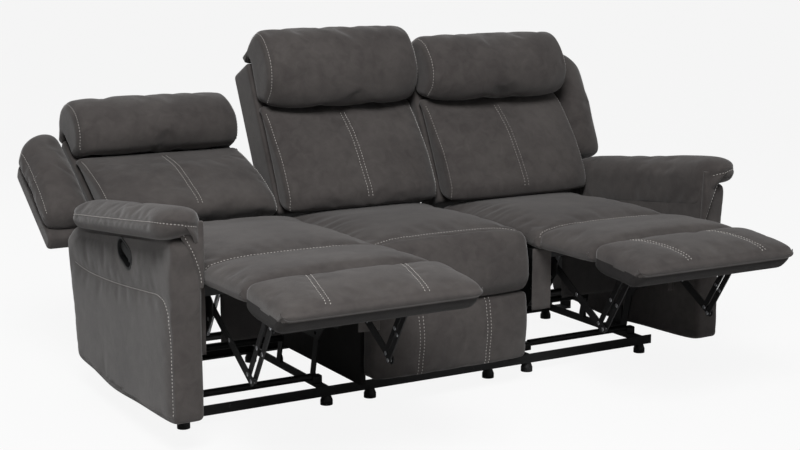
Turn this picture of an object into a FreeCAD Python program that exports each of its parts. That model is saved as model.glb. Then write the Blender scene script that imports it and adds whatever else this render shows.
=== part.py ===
import FreeCAD, Part
import math
import os

os.makedirs("parts", exist_ok=True)

# Three-seat reclining sofa. The two outer seats recline and carry folding footrests, and the
# middle seat is fixed. Millimetres, +Z up, -Y to the sitter's front, +X to the viewer's right.
# The drawing frame has Y = 0 at the front base rail. Every piece is moved by FRAME_SHIFT_Y along Y
# when it is saved, so that the origin is at the bottom centre of the sofa as it is posed.
FRAME_SHIFT_Y = -139.39

# Rest pose: both footrests are open, and each back is reclined by this many degrees
RECLINE_AT_REST = {"left": 32.0, "right": 0.0}

# Seats across the sofa
MIDDLE_HALF_WIDTH = 281.0
SEAT_IN = 286.0
SEAT_OUT = 850.0
LEG_PAD_IN = 279.0
LEG_PAD_OUT = 857.0

# Base of angle iron on round feet
RAIL_BOTTOM = 30.0
RAIL_TOP = 60.0
RAIL_WALL = 4.0
INNER_RAIL_X = 362.0
OUTER_RAIL_X = 822.0
FRONT_RAIL_END = 862.0
REAR_RAIL_Y = 545.0
FOOT_RADIUS = 19.0
MIDDLE_FOOT_X = 215.0
BASE_TUBE = (50.0, 80.0)
BASE_TUBE_RADIUS = 11.0
BASE_PIVOT_Z = 66.0
BASE_PIVOT_Y = {"front": 95.0, "rear": 330.0}

# Swing links let the seat glide back as the footrest closes
SWING_LENGTH = 150.0
GLIDE = 70.0
SWING_HALF = math.degrees(math.asin(GLIDE / 2 / SWING_LENGTH))
SWING_RISE = SWING_LENGTH * math.cos(math.radians(SWING_HALF))
LINK_WALL = 4.0
LAYER_PITCH = 5.0
PIN_RADIUS = 5.0
PIN_CLEARANCE = 0.05

# Slots in the side plates let the seat slide forward and up as the back reclines
RECLINE_TRAVEL = 32.0
SEAT_SLIDE = (-60.0, 26.0)
SLOT_PINS = ((20.0, 272.0), (260.0, 272.0))
SLOT_CLEARANCE = 0.2
CROSS_TUBE = (0.0, 252.0)

# Footrest: it closes through this angle about the pole of the folding linkage
FOOTREST_TRAVEL = 84.0
POLE = (-213.0, 531.0)
CREASE = (-440.0, 503.0)
FOOTREST_TILT = 6.0
FOOTREST_LENGTH = 230.0
FOOTREST_DEPTH = 75.0
LIFT_PIVOT = (-110.0, 366.0)
BRACKET_PIVOT = (-440.0, 398.0)
REACH_ANGLE = 122.0
REACH_SPACING = 26.0

# Back: its hinge, and the lean of its frame when upright
BACK_HINGE = (405.0, 190.0)
BACK_LEAN = 26.0
BACK_FOOT = (492.0, 636.0)
BACK_LOW = -150.0
BACK_TOP = {"middle": 374.0, "recliner": 342.0}
BACK_DEPTH = 126.0
BOARD = 18.0

# Seat box
FRAME_Z = 400.0
FRAME_HEIGHT = 30.0
FRAME_WIDTH = 30.0
FRAME_FRONT = -118.0
FRAME_REAR = 400.0
SPRING_COUNT = 5
CUSHION_BOTTOM = 437.0
CUSHION_REAR = 440.0
SEAM_Y = -150.0

# Arms
ARM_IN = 858.0
ARM_OUT = 948.0
ARM_TOP_FRONT = (-248.0, 604.0)
ARM_TOP_REAR = (560.0, 511.0)
PAD_IN = 857.0
PAD_OUT = 992.0
PAD_FRONT = -280.0
PAD_REAR = 500.0
PAD_FRONT_ROLL = 76.0
PAD_REAR_ROLL = 90.0
PAD_FRONT_THICK = 86.0
PAD_REAR_THICK = 80.0
CUP_CENTRE = (109.0, 507.0)
CUP_TILT = 20.0
CUP_HALF_LENGTH = 56.0
CUP_RADIUS = 31.0
CUP_DEPTH = 30.0


def vec(x, y, z):
    return FreeCAD.Vector(x, y, z)


def turned(point, centre, degrees):
    """A (y, z) point turned about a centre, positive from +Y towards +Z."""
    angle = math.radians(degrees)
    dy = point[0] - centre[0]
    dz = point[1] - centre[1]
    return (centre[0] + dy * math.cos(angle) - dz * math.sin(angle),
            centre[1] + dy * math.sin(angle) + dz * math.cos(angle))


def block(x0, x1, y0, y1, z0, z1):
    return Part.makeBox(x1 - x0, y1 - y0, z1 - z0, vec(x0, y0, z0))


def prism(outline, x0, x1, radius=0.0):
    """A (y, z) outline pushed along X, with its corners rounded to a radius."""
    count = len(outline)
    starts = []
    ends = []
    middles = []
    for i in range(count):
        corner = vec(x0, *outline[i])
        before = (vec(x0, *outline[i - 1]) - corner).normalize()
        after = (vec(x0, *outline[(i + 1) % count]) - corner).normalize()
        half = math.acos(max(-1.0, min(1.0, before.dot(after)))) / 2
        cut = radius / math.tan(half)
        inward = (before + after).normalize()
        starts.append(corner + before * cut)
        ends.append(corner + after * cut)
        middles.append(corner + inward * (radius / math.sin(half) - radius))
    edges = []
    for i in range(count):
        if radius > 0:
            edges.append(Part.Arc(starts[i], middles[i], ends[i]).toShape())
        edges.append(Part.LineSegment(ends[i], starts[(i + 1) % count]).toShape())
    face = Part.Face(Part.Wire(edges))
    return face.extrude(vec(x1 - x0, 0, 0))


def rod(point, x0, x1, radius):
    return Part.makeCylinder(radius, x1 - x0, vec(x0, *point), vec(1, 0, 0))


def tube(point, x0, x1, radius, wall):
    return rod(point, x0, x1, radius).cut(rod(point, x0, x1, radius - wall))


def bar(start, end, width, x0, x1):
    """A flat link with round ends, from one (y, z) pivot to another."""
    along = (vec(0, *end) - vec(0, *start)).normalize()
    side = vec(0, -along.z, along.y) * (width / 2)
    a = vec(x0, *start)
    b = vec(x0, *end)
    edges = [
        Part.LineSegment(a + side, b + side).toShape(),
        Part.Arc(b + side, b + along * (width / 2), b - side).toShape(),
        Part.LineSegment(b - side, a - side).toShape(),
        Part.Arc(a - side, a - along * (width / 2), a + side).toShape()]
    return Part.Face(Part.Wire(edges)).extrude(vec(x1 - x0, 0, 0))


def closed_wire(x, points):
    """Corners and arc middles in turn round a section; None for a middle makes a line."""
    edges = []
    count = len(points)
    for i in range(0, count, 2):
        a = vec(x, *points[i])
        b = vec(x, *points[(i + 2) % count])
        if points[i + 1] is None:
            edges.append(Part.LineSegment(a, b).toShape())
        else:
            edges.append(Part.Arc(a, vec(x, *points[i + 1]), b).toShape())
    return Part.Wire(edges)


STATIONS = (0.0, 0.07, 0.28, 0.5, 0.72, 0.93, 1.0)


def cushion(x0, x1, edge, centre):
    """A crowned cushion across X: its section goes from edge to centre and back again."""
    wires = []
    for t in STATIONS:
        fullness = 1 - abs(2 * t - 1) ** 2.6
        points = []
        for e, c in zip(edge, centre):
            if e is None:
                points.append(None)
            else:
                points.append((e[0] + (c[0] - e[0]) * fullness, e[1] + (c[1] - e[1]) * fullness))
        wires.append(closed_wire(x0 + (x1 - x0) * t, points))
    return Part.makeLoft(wires, True, False)


def layer(number, inner):
    """X range of a plate in one layer of the linkage beside the inner or the outer rail."""
    offset = 1.0 + (number - 1) * LAYER_PITCH
    if inner:
        start = INNER_RAIL_X + RAIL_WALL + offset
    else:
        start = OUTER_RAIL_X - offset - LINK_WALL
    return start, start + LINK_WALL


def pin_between(point, low_layer, high_layer, inner):
    """A pivot pin that reaches from one layer into another, 0 being the base rail."""
    ranges = []
    for number in (low_layer, high_layer):
        if number == 0:
            rail = INNER_RAIL_X if inner else OUTER_RAIL_X
            ranges.append((rail, rail + RAIL_WALL))
        else:
            ranges.append(layer(number, inner))
    return rod(point, min(r[0] for r in ranges), max(r[1] for r in ranges), PIN_RADIUS)


def hole(point):
    return rod(point, INNER_RAIL_X - 20, OUTER_RAIL_X + 24, PIN_RADIUS + PIN_CLEARANCE)


def on_back(s, n):
    """A point of the upright back: s up its front plane from BACK_FOOT, n behind the plane."""
    lean = math.radians(BACK_LEAN)
    return (BACK_FOOT[0] + s * math.sin(lean) + n * math.cos(lean),
            BACK_FOOT[1] + s * math.cos(lean) - n * math.sin(lean))


def on_footrest(s, n):
    """A point of the open footrest: s forward from the crease, n above its top line."""
    tilt = math.radians(FOOTREST_TILT)
    return (CREASE[0] - s * math.cos(tilt) - n * math.sin(tilt),
            CREASE[1] - s * math.sin(tilt) + n * math.cos(tilt))


# Linkage worked out from the driving dimensions
def upper_pivot(end):
    return BASE_PIVOT_Y[end] - GLIDE / 2, BASE_PIVOT_Z + SWING_RISE


def reach_length():
    """Length at which the reach link meets the footrest both open and closed."""
    d = (POLE[0] - LIFT_PIVOT[0], POLE[1] - LIFT_PIVOT[1])
    back = turned(d, (0.0, 0.0), -FOOTREST_TRAVEL)
    angle = math.radians(REACH_ANGLE)
    run = math.cos(angle) * (d[0] - back[0]) + math.sin(angle) * (d[1] - back[1])
    return (1 - math.cos(math.radians(FOOTREST_TRAVEL))) * (d[0] ** 2 + d[1] ** 2) / run


def joint_pivot():
    """The pivot between lift link and reach link, footrest open."""
    angle = math.radians(REACH_ANGLE)
    return (BRACKET_PIVOT[0] - reach_length() * math.cos(angle),
            BRACKET_PIVOT[1] - reach_length() * math.sin(angle))


def second_pivot(point):
    """The matching pivot of the second reach link, one spacing in front of the first."""
    angle = math.radians(REACH_ANGLE + 90)
    return (point[0] + REACH_SPACING * math.cos(angle), point[1] + REACH_SPACING * math.sin(angle))


def reach_travel():
    """Turn of the reach link relative to the lift link as the footrest closes."""
    joint = turned(joint_pivot(), LIFT_PIVOT, FOOTREST_TRAVEL)
    bracket = turned(BRACKET_PIVOT, POLE, FOOTREST_TRAVEL)
    closed = math.degrees(math.atan2(bracket[1] - joint[1], bracket[0] - joint[0]))
    return closed - REACH_ANGLE - FOOTREST_TRAVEL


# Motion of the bodies of one recliner, from footrest open and back upright
def glide_shift(closing):
    """How far the side plates have moved, for a footrest closed by some degrees."""
    angle = 2 * SWING_HALF * closing / FOOTREST_TRAVEL
    lean = math.radians(SWING_HALF - angle)
    start = math.radians(SWING_HALF)
    return (SWING_LENGTH * (math.sin(start) - math.sin(lean)),
            SWING_LENGTH * (math.cos(lean) - math.cos(start)))


def seat_shift(closing, recline):
    """How far the seat has moved: the glide of its side plates and its slide along their slots."""
    glide = glide_shift(closing)
    part = recline / RECLINE_TRAVEL
    return glide[0] + SEAT_SLIDE[0] * part, glide[1] + SEAT_SLIDE[1] * part


def turns_of(body, closing, recline):
    """The turns, outermost last, that bring a body from the drawing to a pose."""
    swing = -2 * SWING_HALF * closing / FOOTREST_TRAVEL
    reach = reach_travel() * closing / FOOTREST_TRAVEL
    return {
        "rear_swing": [((BASE_PIVOT_Y["rear"], BASE_PIVOT_Z), swing)],
        "front_swing": [((BASE_PIVOT_Y["front"], BASE_PIVOT_Z), swing)],
        "carriage": [],
        "seat": [],
        "back": [(BACK_HINGE, -recline)],
        "footrest": [(POLE, closing)],
        "lift": [(LIFT_PIVOT, closing)],
        "reach_rear": [(joint_pivot(), reach), (LIFT_PIVOT, closing)],
        "reach_front": [(second_pivot(joint_pivot()), reach), (LIFT_PIVOT, closing)],
    }[body]


def posed(shape, body, closing, recline):
    result = shape.copy()
    for pivot, degrees in turns_of(body, closing, recline):
        result.rotate(vec(0, *pivot), vec(1, 0, 0), degrees)
    if body == "carriage":
        result.translate(vec(0, *glide_shift(closing)))
    elif not body.endswith("swing"):
        result.translate(vec(0, *seat_shift(closing, recline)))
    return result


def save(name, solids):
    """Move the solids of one node to the origin's frame and write them."""
    placed = []
    for solid in solids:
        moved = solid.copy()
        moved.translate(vec(0, FRAME_SHIFT_Y, 0))
        placed += moved.Solids
    shape = placed[0] if len(placed) == 1 else Part.makeCompound(placed)
    shape.exportStep("parts/" + name + ".step")
    print(name, len(placed), "solid(s)", round(sum(s.Volume for s in placed) / 1000), "cm3")


def mirrored(shape):
    return shape.mirror(vec(0, 0, 0), vec(1, 0, 0))


def sided(side, shapes):
    return shapes if side == "right" else [mirrored(s) for s in shapes]


# Base
def front_rail():
    upright = block(-FRONT_RAIL_END, FRONT_RAIL_END, -RAIL_WALL, 0, RAIL_BOTTOM, RAIL_TOP)
    flat = block(-FRONT_RAIL_END, FRONT_RAIL_END, 0, 26, RAIL_BOTTOM, RAIL_BOTTOM + RAIL_WALL)
    return [upright.fuse(flat).removeSplitter()]


def rear_rail():
    y = REAR_RAIL_Y + 26
    upright = block(-FRONT_RAIL_END, FRONT_RAIL_END, y, y + RAIL_WALL, RAIL_BOTTOM, RAIL_TOP)
    flat = block(-FRONT_RAIL_END, FRONT_RAIL_END, y - 26, y, RAIL_BOTTOM, RAIL_BOTTOM + RAIL_WALL)
    return [upright.fuse(flat).removeSplitter()]


def base_rails():
    """Side rails and cross tube of one recliner, with the tabs that hold the swing links."""
    rails = []
    for inner in (True, False):
        x = INNER_RAIL_X if inner else OUTER_RAIL_X
        z0 = RAIL_BOTTOM + RAIL_WALL
        y1 = REAR_RAIL_Y + 26
        rail = block(x, x + RAIL_WALL, 0, y1, z0, RAIL_TOP)
        flange = x - 22 if inner else x
        rail = rail.fuse(block(flange, flange + 26, 0, y1, z0, z0 + RAIL_WALL))
        for end in ("front", "rear"):
            y = BASE_PIVOT_Y[end]
            tab = bar((y, z0 + 16), (y, BASE_PIVOT_Z), 32, x, x + RAIL_WALL)
            rail = rail.fuse(tab).cut(hole((y, BASE_PIVOT_Z)))
        if not inner:
            for y in (150.0, 450.0):
                tab = block(x, ARM_IN, y, y + 60, RAIL_TOP - RAIL_WALL, RAIL_TOP)
                lug = block(ARM_IN - RAIL_WALL, ARM_IN, y, y + 60, RAIL_TOP - RAIL_WALL, 130)
                rail = rail.fuse(tab).fuse(lug)
        rails.append(rail.removeSplitter())
    return rails + [base_tube()]


def base_tube():
    x0 = INNER_RAIL_X + RAIL_WALL
    body = tube(BASE_TUBE, x0 + 30, OUTER_RAIL_X - 30, BASE_TUBE_RADIUS, 2.0)
    ends = []
    for start, end in ((x0, x0 + 31), (OUTER_RAIL_X - 31, OUTER_RAIL_X)):
        ends.append(prism([(36, 58), (64, 58), (64, 84), (36, 84)], start, end, 4))
    return body.fuse(ends[0]).fuse(ends[1])


def feet():
    places = [(x * sign, 12.0) for x in (MIDDLE_FOOT_X, INNER_RAIL_X + 2, OUTER_RAIL_X + 2)
              for sign in (-1, 1)]
    places += [(x * sign, REAR_RAIL_Y + 14) for x in (INNER_RAIL_X + 2, OUTER_RAIL_X + 2)
               for sign in (-1, 1)]
    solids = []
    for x, y in places:
        foot = Part.makeCylinder(FOOT_RADIUS, 14, vec(x, y, 0))
        foot = foot.fuse(Part.makeCone(FOOT_RADIUS, FOOT_RADIUS - 6, RAIL_BOTTOM - 14, vec(x, y, 14)))
        solids.append(foot)
    return solids


# Arms
def arm_outline():
    return [(-237, 95), (-234, 349), (-242, 500), ARM_TOP_FRONT, ARM_TOP_REAR,
            (640, 455), (570, 93), (266, 66)]


def cup_outline(grow):
    """Centres of the two round ends of the release cup, and its half width."""
    angle = math.radians(CUP_TILT)
    reach = CUP_HALF_LENGTH - CUP_RADIUS
    dy = reach * math.cos(angle)
    dz = reach * math.sin(angle)
    return ((CUP_CENTRE[0] - dy, CUP_CENTRE[1] - dz), (CUP_CENTRE[0] + dy, CUP_CENTRE[1] + dz),
            2 * (CUP_RADIUS + grow))


def arm_body():
    body = prism(arm_outline(), ARM_IN, ARM_OUT, 16)
    front, rear, width = cup_outline(0.1)
    return [body.cut(bar(front, rear, width, ARM_OUT - CUP_DEPTH - 0.1, ARM_OUT + 5))]


def release_cup():
    front, rear, width = cup_outline(0)
    solid = bar(front, rear, width, ARM_OUT - CUP_DEPTH, ARM_OUT + 1)
    rim = bar(front, rear, width + 8, ARM_OUT, ARM_OUT + 2.5)
    hollow = bar(front, rear, width - 5, ARM_OUT - CUP_DEPTH + 3, ARM_OUT + 5)
    return [solid.fuse(rim).cut(hollow)]


def lever_pivot():
    return CUP_CENTRE[0] + 36.0 * math.cos(math.radians(CUP_TILT)), \
        CUP_CENTRE[1] + 36.0 * math.sin(math.radians(CUP_TILT))


def release_lever():
    """Paddle across the cup, which is pulled outwards at its front end."""
    front, rear, width = cup_outline(0)
    start = turned((CUP_CENTRE[0] - 26, CUP_CENTRE[1]), CUP_CENTRE, CUP_TILT)
    end = turned((CUP_CENTRE[0] + 36, CUP_CENTRE[1]), CUP_CENTRE, CUP_TILT)
    paddle = bar(start, end, 26, ARM_OUT - 12, ARM_OUT - 6)
    lip = prism([turned((CUP_CENTRE[0] - 38, CUP_CENTRE[1] - 10), CUP_CENTRE, CUP_TILT),
                 turned((CUP_CENTRE[0] - 26, CUP_CENTRE[1] - 13), CUP_CENTRE, CUP_TILT),
                 turned((CUP_CENTRE[0] - 26, CUP_CENTRE[1] + 13), CUP_CENTRE, CUP_TILT),
                 turned((CUP_CENTRE[0] - 38, CUP_CENTRE[1] + 10), CUP_CENTRE, CUP_TILT)],
                ARM_OUT - 12, ARM_OUT - 2, 3)
    return [paddle.fuse(lip)]


def arm_top(y):
    slope = (ARM_TOP_REAR[1] - ARM_TOP_FRONT[1]) / (ARM_TOP_REAR[0] - ARM_TOP_FRONT[0])
    return ARM_TOP_FRONT[1] + slope * (y - ARM_TOP_FRONT[0])


def pad_section(y, fullness):
    """Section across the arm pad: it overhangs outwards and shrinks towards the rounded ends."""
    middle = (PAD_IN + PAD_OUT) / 2
    half = (PAD_OUT - PAD_IN) / 2 * fullness
    thick = (PAD_FRONT_THICK + (PAD_REAR_THICK - PAD_FRONT_THICK) * (y - PAD_FRONT)
             / (PAD_REAR - PAD_FRONT))
    low = arm_top(y) + 1.0 + thick * (1 - fullness) / 2
    rise = thick * fullness
    points = [(middle - half * 0.93, low), (middle - half, low + rise * 0.45),
              (middle - half * 0.78, low + rise * 0.86), (middle, low + rise),
              (middle + half * 0.78, low + rise * 0.8), (middle + half, low + rise * 0.38),
              (middle + half * 0.86, low), (middle, low - 1.0)]
    edges = []
    for i in range(0, 8, 2):
        a, m, b = points[i], points[i + 1], points[(i + 2) % 8]
        edges.append(Part.Arc(vec(a[0], y, a[1]), vec(m[0], y, m[1]), vec(b[0], y, b[1])).toShape())
    return Part.Wire(edges)


def arm_pad():
    """Pillow along the arm, rounded at its front roll and at its rear end."""
    wires = []
    for y in (-277, -266, -242, -204, -120, 40, 200, 340, 410, 450, 480, 496):
        front = max(0.0, PAD_FRONT + PAD_FRONT_ROLL - y) / PAD_FRONT_ROLL
        rear = max(0.0, y - (PAD_REAR - PAD_REAR_ROLL)) / PAD_REAR_ROLL
        fullness = math.sqrt(1 - max(front, rear) ** 2)
        wires.append(pad_section(y, fullness))
    return [Part.makeLoft(wires, True, False).cut(prism(arm_outline(), ARM_IN, ARM_OUT, 16))]


# Seats
def seat_profile(front, rear, height, crown):
    middle = (front + rear) / 2
    half = (CUSHION_BOTTOM + height) / 2
    return [(front, CUSHION_BOTTOM), (front - 5, half), (front + 6, height),
            (middle, height + crown), (rear - 4, height), (rear, half),
            (rear - 4, CUSHION_BOTTOM), (middle, CUSHION_BOTTOM - 1.5)]


def seat_cushion(x0, x1, shift):
    edge = seat_profile(SEAM_Y + 4 + shift, CUSHION_REAR - 6 + shift, 480, 3)
    centre = seat_profile(SEAM_Y + 1 + shift, CUSHION_REAR + shift, 500, 7)
    return [cushion(x0, x1, edge, centre)]


def back_profile(edge):
    lowest = 512.0
    foot = on_back(-138, -3)
    head = on_back(221, -4)
    if edge:
        front = [(358, lowest), (372, 580), (402, 645), (462, 735), (523, 846), (552, 848)]
    else:
        front = [(318, lowest), (330, 590), (366, 662), (420, 735), (486, 812), (530, 832)]
    return front + [head, None, (foot[0], lowest), None]


def headrest_profile(edge, seat):
    """Section of a headrest roll over the top of its back frame."""
    if edge:
        front = [(530, 858), (517, 935), (540, 1008), (574, 1044), (612, 1046), (648, 1018)]
    else:
        front = [(487, 822), (454, 910), (482, 1008), (534, 1074), (600, 1088), (664, 1050)]
    top = BACK_TOP[seat]
    crease = 840.0
    rise = 1.0 if seat == "middle" else 0.86
    front = [(y, crease + (z - crease) * rise) for y, z in front]
    return front + [on_back(top + 12, 42), None, on_back(top + 4, -6), None, on_back(236, -4), None]


def back_cushion(x0, x1, shift):
    shape = cushion(x0, x1, back_profile(True), back_profile(False))
    shape.translate(vec(0, shift, 0))
    return [shape]


def headrest(x0, x1, shift, seat):
    shape = cushion(x0, x1, headrest_profile(True, seat), headrest_profile(False, seat))
    shape.translate(vec(0, shift, 0))
    return [shape]


def back_frame(x0, x1, shift, seat):
    """Rear panel, two cheeks, a top rail and a bottom rail, as separate boards."""
    def board(s0, s1, n0, n1, left, right):
        return prism([on_back(s0, n0), on_back(s1, n0), on_back(s1, n1), on_back(s0, n1)],
                     left, right)
    inside = BACK_DEPTH - BOARD
    top = BACK_TOP[seat]
    boards = [board(BACK_LOW, top, inside, BACK_DEPTH, x0, x1),
              board(BACK_LOW, top, 0, inside, x0, x0 + BOARD),
              board(BACK_LOW, top, 0, inside, x1 - BOARD, x1),
              board(top - BOARD, top, 0, inside, x0 + BOARD, x1 - BOARD),
              board(BACK_LOW, BACK_LOW + BOARD, 36, inside, x0 + BOARD, x1 - BOARD)]
    for b in boards:
        b.translate(vec(0, shift, 0))
    return boards


def recliner_back_frame():
    return back_frame(SEAT_IN, SEAT_OUT, 0, "recliner") + wing_shell()


def seat_springs(x0, x1, shift):
    """Zigzag springs of flat-laid wire, hooked over the front and rear rails."""
    springs = []
    front = FRAME_FRONT + 10 + shift
    rear = FRAME_REAR - 10 + shift
    turns = 18
    pitch = (rear - front) / turns
    wire = 4.0
    for i in range(SPRING_COUNT):
        x = x0 + (x1 - x0) * (i + 0.7) / (SPRING_COUNT + 0.4)
        middle = [vec(x + (20 if j % 2 else -20), front + pitch * (j + 0.5),
                      FRAME_Z + FRAME_HEIGHT) for j in range(turns)]
        half = vec(0, wire * 0.8, 0)
        runs = []
        for a, b in zip(middle, middle[1:]):
            outline = Part.makePolygon([a - half, b - half, b + half, a + half, a - half])
            runs.append(Part.Face(outline).extrude(vec(0, 0, wire)))
        springs.append(runs[0].multiFuse(runs[1:]).removeSplitter())
    return springs


# Recliner, drawn for the right-hand side, footrest fully open and back upright
def rear_swing():
    low = (BASE_PIVOT_Y["rear"], BASE_PIVOT_Z)
    high = upper_pivot("rear")
    middle = ((low[0] + high[0]) / 2, (low[1] + high[1]) / 2)
    inside = layer(1, True)
    outside = layer(1, False)
    solids = [tube(middle, inside[1], outside[0], 12, 2.5)]
    for inner, across in ((True, inside), (False, outside)):
        link = bar(low, high, 28, *across)
        solids.append(link.fuse(pin_between(low, 0, 1, inner)).fuse(pin_between(high, 1, 2, inner)))
    return solids


def front_swing():
    low = (BASE_PIVOT_Y["front"], BASE_PIVOT_Z)
    high = upper_pivot("front")
    solids = []
    for inner in (True, False):
        link = bar(low, high, 28, *layer(1, inner))
        solids.append(link.fuse(pin_between(low, 0, 1, inner)))
    return solids


def side_plates():
    """Plates carried by the swing links, with the slots in which the seat slides."""
    outline = [(-60, 282), (-58, 318), (200, 318), (290, 290), (318, 230), (318, 195), (40, 195),
               (0, 240)]
    plates = []
    for inner in (True, False):
        plate = prism(outline, *layer(2, inner), 10)
        plate = plate.cut(hole(upper_pivot("rear")))
        plate = plate.cut(rod(upper_pivot("front"), 0, 1000, PIN_RADIUS + 1.0))
        for y, z in SLOT_PINS:
            width = 2 * (PIN_RADIUS + SLOT_CLEARANCE)
            plate = plate.cut(bar((y, z), (y + SEAT_SLIDE[0], z + SEAT_SLIDE[1]), width, 0, 1000))
        plates.append(plate)
    return plates


def seat_plates():
    """Plates under the seat frame: they hold the slot pins, the back hinge and the footrest."""
    outline = [(-125, 384), (-125, 345), (-84, 290), (-30, 232), (30, 230), (60, 252), (300, 252),
               (372, 165), (430, 158), (442, 200), (402, 300), (400, 400), (-105, 400)]
    plates = []
    for inner in (True, False):
        plate = prism(outline, *layer(3, inner), 7)
        for point in (LIFT_PIVOT, BACK_HINGE):
            plate = plate.cut(hole(point))
        for point in SLOT_PINS:
            plate = plate.fuse(pin_between(point, 2, 3, inner))
        plates.append(plate)
    return plates


def seat_frame():
    """Four rails, the two seat plates and the tube that ties the plates together."""
    z0 = FRAME_Z
    z1 = FRAME_Z + FRAME_HEIGHT
    x0 = INNER_RAIL_X + 4
    x1 = OUTER_RAIL_X
    y0 = FRAME_FRONT + FRAME_WIDTH
    y1 = FRAME_REAR - FRAME_WIDTH
    rails = [block(x0, x0 + FRAME_WIDTH, y0, y1, z0, z1),
             block(x1 - FRAME_WIDTH, x1, y0, y1, z0, z1),
             block(SEAT_IN + 6, SEAT_OUT - 6, FRAME_FRONT, y0, z0, z1),
             block(SEAT_IN + 6, SEAT_OUT - 6, y1, FRAME_REAR, z0, z1)]
    cross_tube = tube(CROSS_TUBE, layer(3, True)[1], layer(3, False)[0], 11, 2.5)
    return rails + [cross_tube] + seat_plates()


def assist_springs():
    """Two tension springs between the cross tube and the front of the seat frame."""
    low = vec(0, CROSS_TUBE[0] - 6, CROSS_TUBE[1] + 11)
    high = vec(0, -90, 397)
    springs = []
    for x in (INNER_RAIL_X + 50, OUTER_RAIL_X - 46):
        start = vec(x, low.y, low.z)
        along = vec(x, high.y, high.z) - start
        springs.append(Part.makeCylinder(6.5, along.Length, start, along))
    return springs


def back_brackets():
    """Arms from the back hinge to the underside of the back frame, with their pivot pins."""
    foot_front = on_back(BACK_LOW - 5, 44)
    foot_rear = on_back(BACK_LOW - 5, 92)
    solids = []
    for inner in (True, False):
        across = layer(4, inner)
        arm = prism([(387, 172), (423, 172), (484, 236), (514, 310), foot_rear, foot_front,
                     (466, 330), (444, 262), (387, 208)], *across, 7)
        x0 = across[0] if inner else across[0] - 26
        foot = prism([foot_front, foot_rear, on_back(BACK_LOW, 92), on_back(BACK_LOW, 44)],
                     x0, x0 + 30)
        upper = prism([on_back(BACK_LOW - 30, 48), on_back(BACK_LOW - 30, 88),
                       on_back(BACK_LOW, 92), on_back(BACK_LOW, 44)], *across)
        solids.append(arm.fuse(upper).fuse(foot).fuse(pin_between(BACK_HINGE, 3, 4, inner)))
    return solids


def wing_shell():
    return [prism([on_back(-62, 62), on_back(356, 62), on_back(358, 112), on_back(-62, 112)],
                  SEAT_OUT, 1000, 8)]


def wing_pad():
    edge = [on_back(-10, 2), on_back(165, -6), on_back(346, 4), on_back(356, 26),
            on_back(346, 54), None, on_back(-14, 54), on_back(-22, 26)]
    centre = [on_back(-20, -14), on_back(165, -44), on_back(370, -14), on_back(390, 18),
              on_back(372, 61), None, on_back(-26, 61), on_back(-34, 20)]
    return [cushion(SEAT_OUT + 8, 1008, edge, centre)]


def lift_links():
    joint = joint_pivot()
    second = second_pivot(joint)
    solids = []
    for inner in (True, False):
        link = bar(LIFT_PIVOT, second, 26, *layer(4, inner))
        link = link.cut(hole(joint)).cut(hole(second))
        solids.append(link.fuse(pin_between(LIFT_PIVOT, 3, 4, inner)))
    return solids


def reach_links(number):
    """The rear (1) or front (2) pair of reach links, with the pins that join them to the lift."""
    start = joint_pivot()
    end = BRACKET_PIVOT
    if number == 2:
        start = second_pivot(start)
        end = second_pivot(end)
    solids = []
    for inner in (True, False):
        link = bar(start, end, 18, *layer(4 + number, inner))
        solids.append(link.fuse(pin_between(start, 4, 4 + number, inner)))
    return solids


def footrest_board():
    low = -FOOTREST_DEPTH
    far = FOOTREST_LENGTH - 6
    return [prism([on_footrest(6, low), on_footrest(far, low), on_footrest(far, low + 14),
                   on_footrest(6, low + 14)], LEG_PAD_IN + 16, LEG_PAD_OUT - 16, 2)]


def footrest_brackets():
    under = -FOOTREST_DEPTH
    second = second_pivot(BRACKET_PIVOT)
    solids = []
    for inner in (True, False):
        across = layer(7, inner)
        plate = prism([on_footrest(2, under), (BRACKET_PIVOT[0] + 13, BRACKET_PIVOT[1] + 2),
                       (BRACKET_PIVOT[0] + 4, BRACKET_PIVOT[1] - 15), (second[0] - 4, second[1] - 15),
                       (second[0] - 16, second[1] - 2), on_footrest(90, under)], *across, 1.5)
        x0 = across[0] if inner else across[0] - 20
        flange = prism([on_footrest(6, under - 3), on_footrest(150, under - 3),
                        on_footrest(150, under), on_footrest(6, under)], x0, x0 + 24)
        solids.append(plate.fuse(flange))
    return solids


def footrest_pad():
    low = -FOOTREST_DEPTH + 14.5
    far = FOOTREST_LENGTH
    edge = [on_footrest(3, low), on_footrest(1, -24), on_footrest(8, -10), on_footrest(far / 2, -4),
            on_footrest(far - 14, -14), on_footrest(far, -32), on_footrest(far - 6, low), None]
    centre = [on_footrest(2, low), on_footrest(0, -18), on_footrest(8, 0), on_footrest(far / 2, 15),
              on_footrest(far - 12, -4), on_footrest(far + 8, -30), on_footrest(far - 2, low), None]
    return [cushion(LEG_PAD_IN, LEG_PAD_OUT, edge, centre)]


def chaise_pad():
    """The part of the leg pad that moves as one piece with the footrest."""
    edge = [(-304, 448), (-303, 470), (-306, 490), (-366, 496), (-424, 492), (-428, 470),
            (-422, 450), (-366, 442)]
    centre = [(-303, 446), (-301.5, 475), (-306, 505), (-366, 517), (-426, 505), (-431, 475),
              (-424, 446), (-366, 438)]
    return [cushion(LEG_PAD_IN, LEG_PAD_OUT, edge, centre)]


def chaise_hinge():
    """The part of the leg pad that bends between the seat and the footrest."""
    edge = [(-160, 440), (-157, 462), (-160, 482), (-228, 490), (-296, 488), (-299, 468),
            (-296, 448), (-228, 440)]
    centre = [(-160, 440), (-157, 470), (-160, 499), (-228, 509), (-297, 504), (-300, 475),
              (-296, 446), (-228, 437)]
    return [cushion(LEG_PAD_IN, LEG_PAD_OUT, edge, centre)]


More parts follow.
